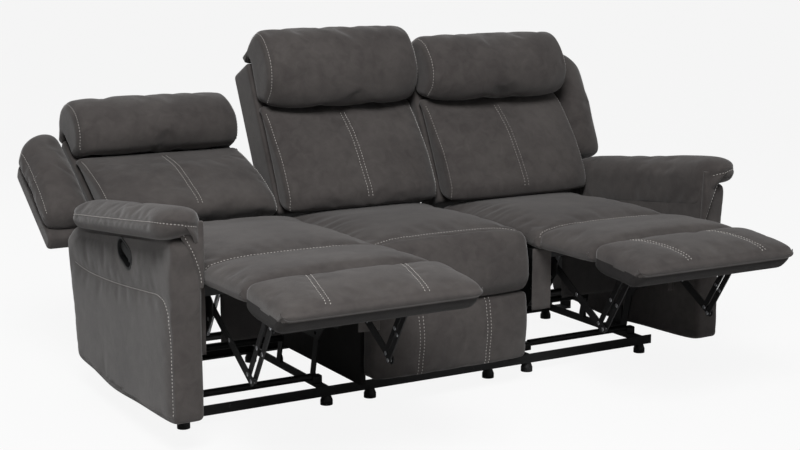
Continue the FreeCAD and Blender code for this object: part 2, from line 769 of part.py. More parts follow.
# Fixed middle seat
def middle_seat_box():
    """Two side boards, a front and a rear board, and the deck, as separate boards."""
    x = MIDDLE_HALF_WIDTH - 3 - BOARD
    boards = [block(start, start + BOARD, -44, REAR_RAIL_Y + 20, RAIL_TOP, 430)
              for start in (-x - BOARD, x)]
    boards.append(block(-x, x, -44, -44 + BOARD, 90, 430))
    boards.append(block(-x, x, 500, 500 + BOARD, 330, 430))
    boards.append(block(-x, x, -26, 500, 424, 430))
    return boards


def middle_front_panel():
    edge = [(-52, 94), None, (-52, 298), (-80, 301), (-112, 297), (-124, 200), (-112, 96), (-80, 92)]
    centre = [(-52, 88), None, (-52, 299), (-80, 303), (-122, 300), (-140, 200), (-126, 90), (-80, 86)]
    return [cushion(-277, 277, edge, centre)]


def middle_front_bib():
    edge = [(-52, 310), None, (-52, 428), None, (-82, 436), None, (-84, 480), (-112, 470),
            (-126, 410), (-132, 350), (-106, 308), (-76, 304)]
    centre = [(-52, 308), None, (-52, 428), None, (-85, 436), None, (-85, 502), (-122, 486),
              (-140, 430), (-150, 370), (-118, 307), (-80, 304)]
    return [cushion(-277, 277, edge, centre)]


save("front_rail", front_rail())
save("rear_rail", rear_rail())
save("feet", feet())
save("middle_seat_box", middle_seat_box())
save("middle_front_panel", middle_front_panel())
save("middle_front_bib", middle_front_bib())
save("middle_seat_cushion", seat_cushion(-MIDDLE_HALF_WIDTH, MIDDLE_HALF_WIDTH, GLIDE))
save("middle_back_cushion", back_cushion(-MIDDLE_HALF_WIDTH, MIDDLE_HALF_WIDTH, GLIDE))
save("middle_headrest", headrest(-MIDDLE_HALF_WIDTH, MIDDLE_HALF_WIDTH, GLIDE, "middle"))
save("middle_back_frame",
     back_frame(-MIDDLE_HALF_WIDTH, MIDDLE_HALF_WIDTH, GLIDE, "middle"))

RECLINER_PIECES = {
    "rear_swing_links": ("rear_swing", rear_swing),
    "front_swing_links": ("front_swing", front_swing),
    "side_plates": ("carriage", side_plates),
    "seat_frame": ("seat", seat_frame),
    "assist_springs": ("seat", assist_springs),
    "seat_springs": ("seat", lambda: seat_springs(INNER_RAIL_X + 30, OUTER_RAIL_X - 26, 0)),
    "seat_cushion": ("seat", lambda: seat_cushion(SEAT_IN, SEAT_OUT, 0)),
    "chaise_hinge_pad": ("seat", chaise_hinge),
    "back_brackets": ("back", back_brackets),
    "back_frame": ("back", recliner_back_frame),
    "back_cushion": ("back", lambda: back_cushion(SEAT_IN, SEAT_OUT, 0)),
    "headrest": ("back", lambda: headrest(SEAT_IN, SEAT_OUT, 0, "recliner")),
    "wing_pad": ("back", wing_pad),
    "lift_links": ("lift", lift_links),
    "rear_reach_links": ("reach_rear", lambda: reach_links(1)),
    "front_reach_links": ("reach_front", lambda: reach_links(2)),
    "footrest_brackets": ("footrest", footrest_brackets),
    "footrest_board": ("footrest", footrest_board),
    "footrest_pad": ("footrest", footrest_pad),
    "chaise_pad": ("footrest", chaise_pad),
}
FIXED_PIECES = {
    "base_rails": base_rails,
    "arm": arm_body,
    "arm_pad": arm_pad,
    "release_cup": release_cup,
    "release_lever": release_lever,
}

for side in ("left", "right"):
    for name, make in FIXED_PIECES.items():
        save(side + "_" + name, sided(side, make()))
    for name, (body, make) in RECLINER_PIECES.items():
        shapes = [posed(s, body, 0.0, RECLINE_AT_REST[side]) for s in make()]
        save(side + "_" + name, sided(side, shapes))
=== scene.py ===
# %% [markdown]
# # Dressing a reclining sofa over its engineering frame
# The frame holds every rail, link, board and cushion as plain solids, and it says how they move.
# This lesson keeps the metal as it is and sews a cover over everything soft. Each cushion is a
# grid of points, drawn as a section that changes across the seat, and then blown up a little by
# a cloth simulation, so that its wrinkles come from the cloth and not from a picture.

import math

import bmesh
import bpy
import numpy as np
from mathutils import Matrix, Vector
from mathutils.bvhtree import BVHTree


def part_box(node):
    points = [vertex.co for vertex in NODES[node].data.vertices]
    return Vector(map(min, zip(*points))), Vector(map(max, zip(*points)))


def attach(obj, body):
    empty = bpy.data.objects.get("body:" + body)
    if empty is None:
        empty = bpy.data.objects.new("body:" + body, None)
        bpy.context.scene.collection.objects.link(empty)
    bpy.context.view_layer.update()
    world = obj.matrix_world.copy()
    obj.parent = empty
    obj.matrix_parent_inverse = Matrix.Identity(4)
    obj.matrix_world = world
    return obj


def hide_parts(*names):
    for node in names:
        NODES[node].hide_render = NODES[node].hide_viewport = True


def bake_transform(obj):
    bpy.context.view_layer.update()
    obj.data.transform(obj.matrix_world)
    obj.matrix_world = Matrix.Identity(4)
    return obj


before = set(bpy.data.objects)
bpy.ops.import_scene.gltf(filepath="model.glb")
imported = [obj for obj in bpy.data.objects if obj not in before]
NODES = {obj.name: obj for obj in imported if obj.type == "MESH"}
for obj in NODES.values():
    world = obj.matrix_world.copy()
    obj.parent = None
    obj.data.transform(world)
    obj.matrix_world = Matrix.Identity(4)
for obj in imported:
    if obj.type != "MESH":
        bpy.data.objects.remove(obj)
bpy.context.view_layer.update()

# %% [markdown]
# The camera comes first, because it decides which seams and folds earn their polygons. The
# sofa is seen from its front left, a little above the seat, through a longish lens.

# %% Camera
camera_data = bpy.data.cameras.new("view")
camera_data.lens = 69.96
camera = bpy.data.objects.new("view", camera_data)
camera.location = (-2.417, -4.138, 1.393)
camera.rotation_euler = (math.radians(79.37), 0, math.radians(-29.92))
bpy.context.scene.collection.objects.link(camera)
bpy.context.scene.camera = camera
bpy.context.scene.view_settings.view_transform = "Standard"

# %% [markdown]
# The cushions are drawn in millimetres in the upright sofa, as an upholsterer would measure it,
# and then carried to where the frame stands. The left seat is reclined in the rest pose: its
# back is turned about the hinge, and the whole seat has slid forward and up in its slots.

# %% From the drawing to the frame
SHIFT_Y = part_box("front_rail")[0].y * 1000 + 4
HINGE = (405.0, 190.0)
RECLINE = {"left": 32.0, "right": 0.0, "middle": 0.0}
SLIDE = {"left": (-60.0, 26.0), "right": (0.0, 0.0), "middle": (0.0, 0.0)}
GLIDE = {"left": 0.0, "right": 0.0, "middle": 70.0}


def placed(points, side="middle", moving="fixed"):
    """Drawing millimetres to frame metres; moving is fixed, seat, back or footrest."""
    p = np.array(points, float).reshape(-1, 3)
    if moving == "back":
        a = math.radians(-RECLINE[side])
        y, z = p[:, 1] - HINGE[0], p[:, 2] - HINGE[1]
        p[:, 1] = HINGE[0] + y * math.cos(a) - z * math.sin(a)
        p[:, 2] = HINGE[1] + y * math.sin(a) + z * math.cos(a)
    if moving != "fixed":
        p[:, 1] += SLIDE[side][0] + GLIDE[side]
        p[:, 2] += SLIDE[side][1]
    if side == "left":
        p[:, 0] *= -1
    p[:, 1] += SHIFT_Y
    return p / 1000


def body_of(side, moving):
    return "root" if side == "middle" or moving == "fixed" else side + "_" + moving


def added(name, data):
    """A new object in the scene."""
    obj = bpy.data.objects.new(name, data)
    bpy.context.scene.collection.objects.link(obj)
    return obj


def settled(obj, tool):
    """Make a modifier's result the object's own mesh."""
    evaluated = obj.evaluated_get(bpy.context.evaluated_depsgraph_get())
    mesh = bpy.data.meshes.new_from_object(evaluated)
    obj.modifiers.remove(tool)
    obj.data = mesh
    mesh.name = obj.name


print("drawing shift", round(SHIFT_Y, 2), "mm")

# %% [markdown]
# A section is a handful of measured points. A smooth curve through them, taken at even steps,
# gives a ring, and rings across the seat make the skin. Rounding the two ends is the same as
# drawing each end ring a little smaller, the way a ball closes.


# %% Rings through measured points
def ring_through(controls, steps):
    """A closed smooth curve through (y, z) points, with a number of steps in each span."""
    c = np.array(controls, float)
    n = len(c)
    out = []
    for i in range(n):
        p0, p1, p2, p3 = c[i - 1], c[i], c[(i + 1) % n], c[(i + 2) % n]
        d1 = max(np.linalg.norm(p1 - p0), 1e-6) ** 0.5
        d2 = max(np.linalg.norm(p2 - p1), 1e-6) ** 0.5
        d3 = max(np.linalg.norm(p3 - p2), 1e-6) ** 0.5
        m1 = (p2 - p1) + d2 * ((p1 - p0) / d1 - (p2 - p0) / (d1 + d2))
        m2 = (p2 - p1) + d2 * ((p3 - p2) / d3 - (p3 - p1) / (d2 + d3))
        for k in range(steps[i]):
            t = k / steps[i]
            h00 = 2 * t ** 3 - 3 * t ** 2 + 1
            h10 = t ** 3 - 2 * t ** 2 + t
            h01 = -2 * t ** 3 + 3 * t ** 2
            h11 = t ** 3 - t ** 2
            out.append(h00 * p1 + h10 * m1 + h01 * p2 + h11 * m2)
    return np.array(out)


def shrunk(ring, inset):
    """A ring drawn smaller by an inset, each point moved along its own inward normal."""
    ahead = np.roll(ring, -1, 0) - np.roll(ring, 1, 0)
    normal = np.stack([-ahead[:, 1], ahead[:, 0]], 1)
    normal /= np.maximum(np.linalg.norm(normal, axis=1, keepdims=True), 1e-9)
    area = np.sum(ring[:, 0] * np.roll(ring[:, 1], -1) - np.roll(ring[:, 0], -1) * ring[:, 1])
    return ring + normal * inset * (1 if area > 0 else -1)


def across(x0, x1, edge, centre, steps, radius, power=2.6, columns=46):
    """Rings across X from a section at the edge to a fuller section in the middle."""
    e, c = ring_through(edge, steps), ring_through(centre, steps)
    stations = [(x0 + radius * (1 - math.cos(a)), radius * (1 - math.sin(a)))
                for a in np.radians([0, 22, 45, 67])]
    stations += [(x, 0.0) for x in np.linspace(x0 + radius, x1 - radius, columns)]
    stations += [(x0 + x1 - x, inset) for x, inset in reversed(stations[:4])]
    rings = []
    for x, inset in stations:
        t = abs(2 * (x - x0) / (x1 - x0) - 1)
        section = shrunk(e + (c - e) * (1 - t ** power), inset)
        rings.append(np.column_stack([np.full(len(section), x), section]))
    return np.array(rings)


# %% [markdown]
# The skin joins the rings with four-sided faces. Each end is closed by a small grid of its own,
# which joins opposite points of the last ring, so that no end has a pole where creases gather.


# %% Skin over the rings
def sewn_up(name, points, faces, side, moving):
    """A smooth object from points in the drawing, with its faces turned outwards."""
    mesh = bpy.data.meshes.new(name)
    mesh.from_pydata([tuple(p) for p in placed(points, side, moving)], [], faces)
    shell = bmesh.new()
    shell.from_mesh(mesh)
    bmesh.ops.recalc_face_normals(shell, faces=shell.faces)
    shell.to_mesh(mesh)
    shell.free()
    mesh.polygons.foreach_set("use_smooth", [True] * len(mesh.polygons))
    return added(name, mesh)


def skin(name, rings, side="middle", moving="fixed", spans=4, puff=(0.0, 0.0)):
    """A closed mesh over rings of points in the drawing, placed in the frame."""
    rows, cols, _ = rings.shape
    points = [p for ring in rings for p in ring]
    faces = []
    for i in range(rows - 1):
        for j in range(cols):
            k = (j + 1) % cols
            faces.append((i * cols + j, i * cols + k, (i + 1) * cols + k, (i + 1) * cols + j))
    half = cols // 2
    ends = ((0, rings[0].mean(0) - rings[1].mean(0)),
            ((rows - 1) * cols, rings[-1].mean(0) - rings[-2].mean(0)))
    for (start, outward), swell in zip(ends, puff):
        outward = outward / np.linalg.norm(outward)
        grid = np.zeros((half, spans + 1), int)
        for j in range(half):
            a, b = start + j, start + cols - 1 - j
            grid[j, 0], grid[j, spans] = a, b
            for s in range(1, spans):
                t = s / spans
                lift = swell * (1 - (2 * t - 1) ** 4) * (1 - (2 * j / (half - 1) - 1) ** 4)
                points.append(points[a] * (1 - t) + points[b] * t + outward * lift)
                grid[j, s] = len(points) - 1
        for j in range(half - 1):
            for s in range(spans):
                faces.append((grid[j, s], grid[j, s + 1], grid[j + 1, s + 1], grid[j + 1, s]))
    return sewn_up(name, points, [tuple(int(v) for v in f) for f in faces], side, moving)


# %% [markdown]
# A seam pulls the cloth down between two fillings. Pressing every nearby point inwards, deepest
# on the line and fading within a finger's width, makes that valley before the cloth is blown up.


# %% Seams and the cloth between them
def coords(obj):
    out = np.empty(len(obj.data.vertices) * 3)
    obj.data.vertices.foreach_get("co", out)
    return out.reshape(-1, 3)


def normals(obj):
    out = np.empty(len(obj.data.vertices) * 3)
    obj.data.vertices.foreach_get("normal", out)
    return out.reshape(-1, 3)


def dense(points, step=0.004):
    """A polyline with a point every few millimetres."""
    p = np.array(points, float)
    out = []
    for a, b in zip(p, p[1:]):
        n = max(1, int(np.linalg.norm(b - a) / step))
        out += [a + (b - a) * k / n for k in range(n)]
    return np.array(out + [p[-1]])


def smooth_line(points, steps=12):
    """An open smooth curve through a few points."""
    p = np.array(points, float)
    p = np.vstack([2 * p[0] - p[1], p, 2 * p[-1] - p[-2]])
    out = []
    for i in range(1, len(p) - 2):
        for k in range(steps):
            t = k / steps
            out.append(0.5 * ((2 * p[i]) + (p[i + 1] - p[i - 1]) * t
                              + (2 * p[i - 1] - 5 * p[i] + 4 * p[i + 1] - p[i + 2]) * t ** 2
                              + (3 * p[i] - p[i - 1] - 3 * p[i + 1] + p[i + 2]) * t ** 3))
    return np.array(out + [p[-2]])


def on_surface(obj, points, lift=0.0):
    tree = BVHTree.FromObject(obj, bpy.context.evaluated_depsgraph_get())
    out = []
    for p in points:
        place, normal, _, _ = tree.find_nearest(Vector(p))
        out.append(place + normal * lift)
    return np.array(out)


def distance_to(points, line):
    near = np.full(len(points), 1e9)
    for start in range(0, len(line), 64):
        part = line[start:start + 64]
        d = np.linalg.norm(points[:, None, :] - part[None, :, :], axis=2).min(1)
        near = np.minimum(near, d)
    return near


def press(obj, lines, depth=0.004, width=0.010):
    """Valleys along seam lines, which are polylines in the frame."""
    p = coords(obj)
    n = normals(obj)
    for line in lines:
        near = distance_to(p, dense(on_surface(obj, line)))
        p -= n * (depth * np.exp(-(near / width) ** 2))[:, None]
    obj.data.vertices.foreach_set("co", p.ravel())
    obj.data.update()


# %% [markdown]
# Cut cloth is always a little larger than the foam below it, and the spare cloth wrinkles next
# to the seams that hold it. So the simulation pins the seams and the hidden sides, lets the
# cloth grow by a few percent and adds pressure. Each point may move only so far.


# %% Blowing up a cover
def cloth_pass(obj, held, growth, pressure, cap, frames=14):
    """Simulate the points that aren't held, cap their movement and keep the result."""
    group = obj.vertex_groups.new(name="held")
    group.add([int(i) for i in np.nonzero(held)[0]], 1.0, "REPLACE")
    before = coords(obj)
    cloth = obj.modifiers.new("cover", "CLOTH")
    s = cloth.settings
    s.quality = 4
    s.mass = 0.25
    s.tension_stiffness = 25
    s.compression_stiffness = 25
    s.shear_stiffness = 8
    s.bending_stiffness = 3.0
    s.use_pressure = True
    s.uniform_pressure_force = pressure
    s.shrink_min = -growth
    s.effector_weights.gravity = 0
    s.vertex_group_mass = group.name
    s.pin_stiffness = 1.0
    cloth.collision_settings.use_collision = False
    cloth.point_cache.frame_start = 1
    cloth.point_cache.frame_end = frames
    for f in range(1, frames + 1):
        bpy.context.scene.frame_set(f)
    evaluated = obj.evaluated_get(bpy.context.evaluated_depsgraph_get())
    after = np.empty(len(before) * 3)
    evaluated.data.vertices.foreach_get("co", after)
    move = after.reshape(-1, 3) - before
    size = np.linalg.norm(move, axis=1, keepdims=True)
    move *= np.tanh(size / cap) * cap / np.maximum(size, 1e-9)
    obj.modifiers.remove(cloth)
    obj.vertex_groups.remove(group)
    bpy.context.scene.frame_set(1)
    obj.data.vertices.foreach_set("co", (before + move).ravel())
    obj.data.update()
    print(obj.name, "cloth moved up to", round(float(size.max()) * 1000, 1), "mm")


def near_lines(obj, lines, reach):
    """Which points are within reach of seam lines."""
    p = coords(obj)
    held = np.zeros(len(p), bool)
    for line in lines:
        held |= distance_to(p, dense(on_surface(obj, line))) < reach
    return held


def refine(obj):
    """Round the skin once more and keep it as a plain mesh."""
    tool = obj.modifiers.new("round", "SUBSURF")
    tool.levels = tool.render_levels = 1
    settled(obj, tool)


# %% [markdown]
# ## Finishes
# Shader maths reads best as plain sums. This small class wraps one output of a node, so that
# `1 - mask * 0.4` builds the Math nodes by itself, and its method `node` makes any other node.


# %% Shader expressions
def made_node(tree, kind, settings=None, **values):
    """A node; a value is a number or a socket to join, and i0 stands for input 0."""
    made = tree.nodes.new(kind)
    for key, value in (settings or {}).items():
        setattr(made, key, value)
    for key, value in values.items():
        name = int(key[1:]) if key[1:].isdigit() else key.replace("_", " ")
        if isinstance(value, bpy.types.NodeSocket):
            tree.links.new(value, made.inputs[name])
        else:
            made.inputs[name].default_value = value
    return made


class Value:
    """One socket of a node tree, which can be used in sums."""

    def __init__(self, tree, socket):
        self.tree = tree
        self.socket = socket

    def node(self, kind, settings=None, out=0, **values):
        values = {k: v.socket if isinstance(v, Value) else v for k, v in values.items()}
        return Value(self.tree, made_node(self.tree, kind, settings, **values).outputs[out])

    def math(self, operation, a, b):
        return self.node("ShaderNodeMath", {"operation": operation}, i0=a, i1=b)

    def __add__(self, other):
        return self.math("ADD", self, other)

    def __mul__(self, other):
        return self.math("MULTIPLY", self, other)

    def __rsub__(self, other):
        return self.math("SUBTRACT", other, self)

    __radd__ = __add__
    __rmul__ = __mul__

    def mix(self, low, high):
        """A colour between two, by this value."""
        return self.node("ShaderNodeMix", {"data_type": "RGBA"}, 2, i0=self, i6=low, i7=high)


def srgb(r, g, b):
    """A colour written as the eye sees it, 0 to 255, for a shader."""
    def linear(c):
        c /= 255
        return c / 12.92 if c <= 0.04045 else ((c + 0.055) / 1.055) ** 2.4
    return (linear(r), linear(g), linear(b), 1.0)


def finish_named(name):
    """A new material: its shader node and its object coordinates."""
    material = bpy.data.materials.new(name)
    material.use_nodes = True
    tree = material.node_tree
    shader = tree.nodes["Principled BSDF"]
    place = Value(tree, tree.nodes.new("ShaderNodeTexCoord").outputs["Object"])
    return material, shader, place


def drive(shader, name, value):
    shader.id_data.links.new(value.socket, shader.inputs[name])


# %% [markdown]
# The cover is a napped microfibre. Its short pile lies one way where a hand has brushed it and
# another way beside that, which shows as soft lighter clouds. Close up it is a fine grain of
# pile with small creases. It has no gloss of its own, only a faint sheen at grazing angles.


# %% Napped cover
def napped_cover(name, base, cloud, sheen=0.25):
    material, shader, place = finish_named(name)
    broad = place.node("ShaderNodeTexNoise", Vector=place, Scale=5.0, Detail=3.0, Roughness=0.55)
    brushed = place.node("ShaderNodeTexNoise", Vector=place, Scale=28.0, Detail=4.0,
                         Roughness=0.6, Distortion=0.6)
    pile = place.node("ShaderNodeTexNoise", Vector=place, Scale=900.0, Detail=2.0, Roughness=0.6)
    crease = place.node("ShaderNodeTexNoise", Vector=place, Scale=110.0, Detail=3.0,
                        Roughness=0.55, Distortion=0.8)
    cloudy = broad * 0.55 + brushed * 0.45
    tone = place.node("ShaderNodeMapRange", Value=cloudy, From_Min=0.36, From_Max=0.66)
    colour = tone.mix(base, cloud)
    grain = place.node("ShaderNodeMapRange", Value=pile, From_Min=0.3, From_Max=0.7)
    dark = (grain * 0.22).mix(colour, (base[0] * 0.55, base[1] * 0.55, base[2] * 0.55, 1))
    drive(shader, "Base Color", dark)
    drive(shader, "Roughness", 0.98 - cloudy * 0.14)
    height = pile * 0.35 + crease * 0.65
    bump = place.node("ShaderNodeBump", Strength=0.35, Distance=0.0016, Height=height)
    drive(shader, "Normal", bump)
    shader.inputs["Sheen Weight"].default_value = sheen
    shader.inputs["Sheen Roughness"].default_value = 0.45
    shader.inputs["Specular IOR Level"].default_value = 0.25
    return material


COVER = napped_cover("cover", srgb(62, 58, 57), srgb(80, 76, 74))
LINING = napped_cover("lining", srgb(34, 32, 32), srgb(42, 40, 39), sheen=0.05)
print("covers made")


# %% [markdown]
# The stitches are thick pale grey thread. The steel is black powder coat, a little rough and
# worn brighter in small spots. The springs and rivets are bright zinc. The feet, the release cup
# and its paddle are moulded plastic.


# %% Thread, metal and plastic
def thread():
    material, shader, place = finish_named("thread")
    twist = place.node("ShaderNodeTexWave", Vector=place, Scale=700.0, Distortion=1.0)
    drive(shader, "Base Color", twist.mix(srgb(150, 146, 142), srgb(192, 188, 184)))
    shader.inputs["Roughness"].default_value = 0.7
    return material


def coated_steel():
    material, shader, place = finish_named("coated_steel")
    orange_peel = place.node("ShaderNodeTexNoise", Vector=place, Scale=420.0, Detail=2.0)
    wear = place.node("ShaderNodeTexNoise", Vector=place, Scale=34.0, Detail=6.0, Roughness=0.7)
    worn = place.node("ShaderNodeMapRange", Value=wear, From_Min=0.66, From_Max=0.74)
    drive(shader, "Base Color", worn.mix(srgb(22, 22, 23), srgb(74, 74, 76)))
    drive(shader, "Roughness", 0.42 + orange_peel * 0.18)
    bump = place.node("ShaderNodeBump", Strength=0.2, Distance=0.0004, Height=orange_peel)
    drive(shader, "Normal", bump)
    shader.inputs["Metallic"].default_value = 0.35
    return material


def bright_zinc():
    material, shader, place = finish_named("bright_zinc")
    drawn = place.node("ShaderNodeTexNoise", Vector=place, Scale=160.0, Detail=4.0, Roughness=0.65)
    drive(shader, "Base Color", drawn.mix(srgb(150, 152, 156), srgb(214, 216, 220)))
    drive(shader, "Roughness", 0.22 + drawn * 0.22)
    shader.inputs["Metallic"].default_value = 1.0
    return material


def moulded_plastic():
    material, shader, place = finish_named("moulded_plastic")
    spark = place.node("ShaderNodeTexVoronoi", Vector=place, Scale=900.0)
    drive(shader, "Base Color", spark.mix(srgb(20, 20, 21), srgb(30, 30, 31)))
    drive(shader, "Roughness", 0.45 + spark * 0.2)
    bump = place.node("ShaderNodeBump", Strength=0.25, Distance=0.0003, Height=spark)
    drive(shader, "Normal", bump)
    return material


THREAD, STEEL, ZINC, PLASTIC = thread(), coated_steel(), bright_zinc(), moulded_plastic()
print("materials", len(bpy.data.materials))

# %% [markdown]
# Metal and plastic keep their engineering shapes, because those are right already, and only get
# their finishes. The boards of the seat box get the thin black lining that is stapled over them.


# %% Finishes on the frame's own parts
def finish_node(name, material):
    obj = NODES[name]
    obj.data.materials.clear()
    obj.data.materials.append(material)


for name in NODES:
    if any(word in name for word in ("rail", "swing", "plates", "seat_frame", "brackets",
                                     "links")):
        finish_node(name, STEEL)
    elif "springs" in name:
        finish_node(name, ZINC)
    elif "feet" in name or "release" in name:
        finish_node(name, PLASTIC)
    elif "box" in name or "board" in name:
        finish_node(name, LINING)
    else:
        finish_node(name, COVER)
print("finished nodes", len(NODES))

# %% [markdown]
# ## Stitching
# A stitch is a short fat thread with round ends. Geometry Nodes walks along each seam, drops a
# stitch every few millimetres and turns it along the seam. The result is made plain geometry,
# one object for each body that moves, because the export keeps no instances.


# %% Stitch tree
class Grower:
    """A geometry tree under construction, from its start to its painted end."""

    def __init__(self, name, **lengths):
        self.tree = bpy.data.node_groups.new(name, "GeometryNodeTree")
        socket = self.tree.interface.new_socket
        socket("Geometry", in_out="INPUT", socket_type="NodeSocketGeometry")
        for key, value in lengths.items():
            socket(key, in_out="INPUT", socket_type="NodeSocketFloat").default_value = value
        socket("Material", in_out="INPUT", socket_type="NodeSocketMaterial")
        socket("Geometry", in_out="OUTPUT", socket_type="NodeSocketGeometry")
        self.start = self.add("NodeGroupInput")

    def add(self, kind, settings=None, **values):
        return made_node(self.tree, kind, settings, **values)

    def given(self, name):
        return self.start.outputs[name]

    def balls(self, points, segments, rings, x, y, z, **more):
        """A ball of a given size on every point, as plain geometry."""
        ball = self.add("GeometryNodeMeshUVSphere", Segments=segments, Rings=rings, Radius=1.0)
        size = self.add("ShaderNodeCombineXYZ", X=x, Y=y, Z=z)
        place = self.add("GeometryNodeInstanceOnPoints", Points=points,
                         Instance=ball.outputs["Mesh"], Scale=size.outputs[0], **more)
        return self.add("GeometryNodeRealizeInstances", Geometry=place.outputs[0]).outputs[0]

    def painted(self, geometry):
        """The finished tree, which gives the geometry its material."""
        paint = self.add("GeometryNodeSetMaterial", Geometry=geometry,
                         Material=self.given("Material"))
        self.add("NodeGroupOutput", i0=paint.outputs[0])
        return self.tree


def grown(name, mesh, tree, material, body):
    """Run a tree on a mesh, keep the result as a plain mesh and let it ride on a body."""
    obj = added(name, mesh)
    tool = obj.modifiers.new("tree", "NODES")
    tool.node_group = tree
    for item in tree.interface.items_tree:
        if item.in_out == "INPUT" and item.name == "Material":
            tool[item.identifier] = material
    settled(obj, tool)
    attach(obj, body)
    return obj


def stitch_tree():
    grower = Grower("stitches", Pitch=0.010, Length=0.0058, Radius=0.0012)
    curve = grower.add("GeometryNodeMeshToCurve", Mesh=grower.given("Geometry"))
    even = grower.add("GeometryNodeResampleCurve", {"mode": "LENGTH"},
                      Curve=curve.outputs["Curve"], Length=grower.given("Pitch"))
    tangent = grower.add("GeometryNodeInputTangent")
    turn = grower.add("FunctionNodeAlignRotationToVector", {"axis": "Z"},
                      Vector=tangent.outputs[0])
    half = grower.add("ShaderNodeMath", {"operation": "MULTIPLY"}, i0=grower.given("Length"),
                      i1=0.5)
    radius = grower.given("Radius")
    return grower.painted(grower.balls(even.outputs["Curve"], 6, 4, radius, radius,
                                       half.outputs[0], Rotation=turn.outputs["Rotation"]))


STITCHES = stitch_tree()
THREAD_LIFT = 0.0006
RUNS = {}


def plan_stitches(obj, lines, body, twin=0.0):
    """Keep seam lines for one body; twin lays two rows that far apart."""
    for line in lines:
        path = on_surface(obj, dense(line), THREAD_LIFT)
        if not twin:
            RUNS.setdefault(body, []).append(path)
            continue
        along = np.gradient(path, axis=0)
        tree = BVHTree.FromObject(obj, bpy.context.evaluated_depsgraph_get())
        normal = np.array([tree.find_nearest(Vector(p))[1] for p in path])
        side = np.cross(along, normal)
        side /= np.maximum(np.linalg.norm(side, axis=1, keepdims=True), 1e-9)
        for way in (-0.5, 0.5):
            RUNS.setdefault(body, []).append(
                on_surface(obj, path + side * twin * way, THREAD_LIFT))


def sew():
    for body, runs in RUNS.items():
        points, edges = [], []
        for run in runs:
            first = len(points)
            points += [tuple(p) for p in run]
            edges += [(first + i, first + i + 1) for i in range(len(run) - 1)]
        mesh = bpy.data.meshes.new("runs")
        mesh.from_pydata(points, edges, [])
        obj = grown(body + "_stitches", mesh, STITCHES, THREAD, body)
        print(obj.name, len(runs), "runs", len(obj.data.polygons), "faces")


# %% [markdown]
# ## Padded pieces
# Every padded piece takes the same steps: rings, skin, seams, cloth, one rounding, a parent that
# ties it to its body, and hiding the plain solid that it stands for.


# %% One padded piece from start to finish
SEAM_REACH = 0.006


def upholster(name, rings, side, moving, nodes, seams=(), held=None, growth=0.03, cap=0.010,
              depth=0.004, width=0.010, pressure=3.0, puff=(0.0, 0.0), spans=4,
              rides=True):
    """Rings to a finished cover; gives the object back, and its seams as lines in the frame."""
    obj = skin(name, rings, side, moving, spans, puff)
    lines = [placed(line, side, moving) for line in seams]
    press(obj, lines, depth, width)
    if held is not None:
        still = held(obj) | near_lines(obj, lines, SEAM_REACH)
        cloth_pass(obj, still, growth, pressure, cap)
    refine(obj)
    obj.data.materials.append(COVER)
    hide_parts(*nodes)
    if rides:
        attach(obj, body_of(side, moving))
    return obj, lines


def hold_ends(x0, x1, margin, hidden):
    """Which points stay put: those near the two ends across X, and the hidden sides."""
    def test(obj):
        x = coords(obj)[:, 0] * 1000
        x = np.abs(x) if x0 > 0 else x
        return (x < x0 + margin) | (x > x1 - margin) | hidden(normals(obj))
    return test


SEATS = {"left": (286.0, 850.0), "middle": (-281.0, 281.0), "right": (286.0, 850.0)}
BACK_TOP = {"left": 342, "middle": 374, "right": 342}
LEG_IN, LEG_OUT = 279.5, 856.0

# %% [markdown]
# ## Seat cushions
# A seat cushion is a foam block on zigzag springs, with a soft wrap on top. It sits flat below
# and is crowned above, and its cloth is pulled down along the front seam and under the back.


# %% Seats
SEAT_EDGE = [(-151, 460), (-144, 482), (-60, 486), (145, 488), (300, 484), (430, 474), (434, 458),
             (430, 438), (300, 437), (145, 436), (-60, 437), (-146, 438)]
SEAT_CENTRE = [(-153, 472), (-147, 498), (-60, 511), (145, 513), (300, 499), (434, 487),
               (439, 462), (435, 438)] + SEAT_EDGE[8:11] + [(-149, 438)]
SEAT_STEPS = [4, 8, 18, 14, 9, 4, 4, 9, 14, 18, 8, 4]
for side, (x0, x1) in SEATS.items():
    rings = across(x0, x1, SEAT_EDGE, SEAT_CENTRE, SEAT_STEPS, 26, power=3.4)
    hold = hold_ends(x0, x1, 12, lambda n: n[:, 2] < 0.2)
    seam = smooth_line([(x0 + (x1 - x0) * t, y, z) for t, y, z in
                        ((0.015, -150, 478), (0.05, -138, 492), (0.2, -131, 503),
                         (0.5, -129, 507), (0.8, -131, 503), (0.95, -138, 492),
                         (0.985, -150, 478))])
    seat, lines = upholster(side + "_seat_cover", rings, side, "seat", [side + "_seat_cushion"],
                            seams=[seam], held=hold, growth=0.018, cap=0.011)
    plan_stitches(seat, lines, body_of(side, "seat"))
print("seats made")
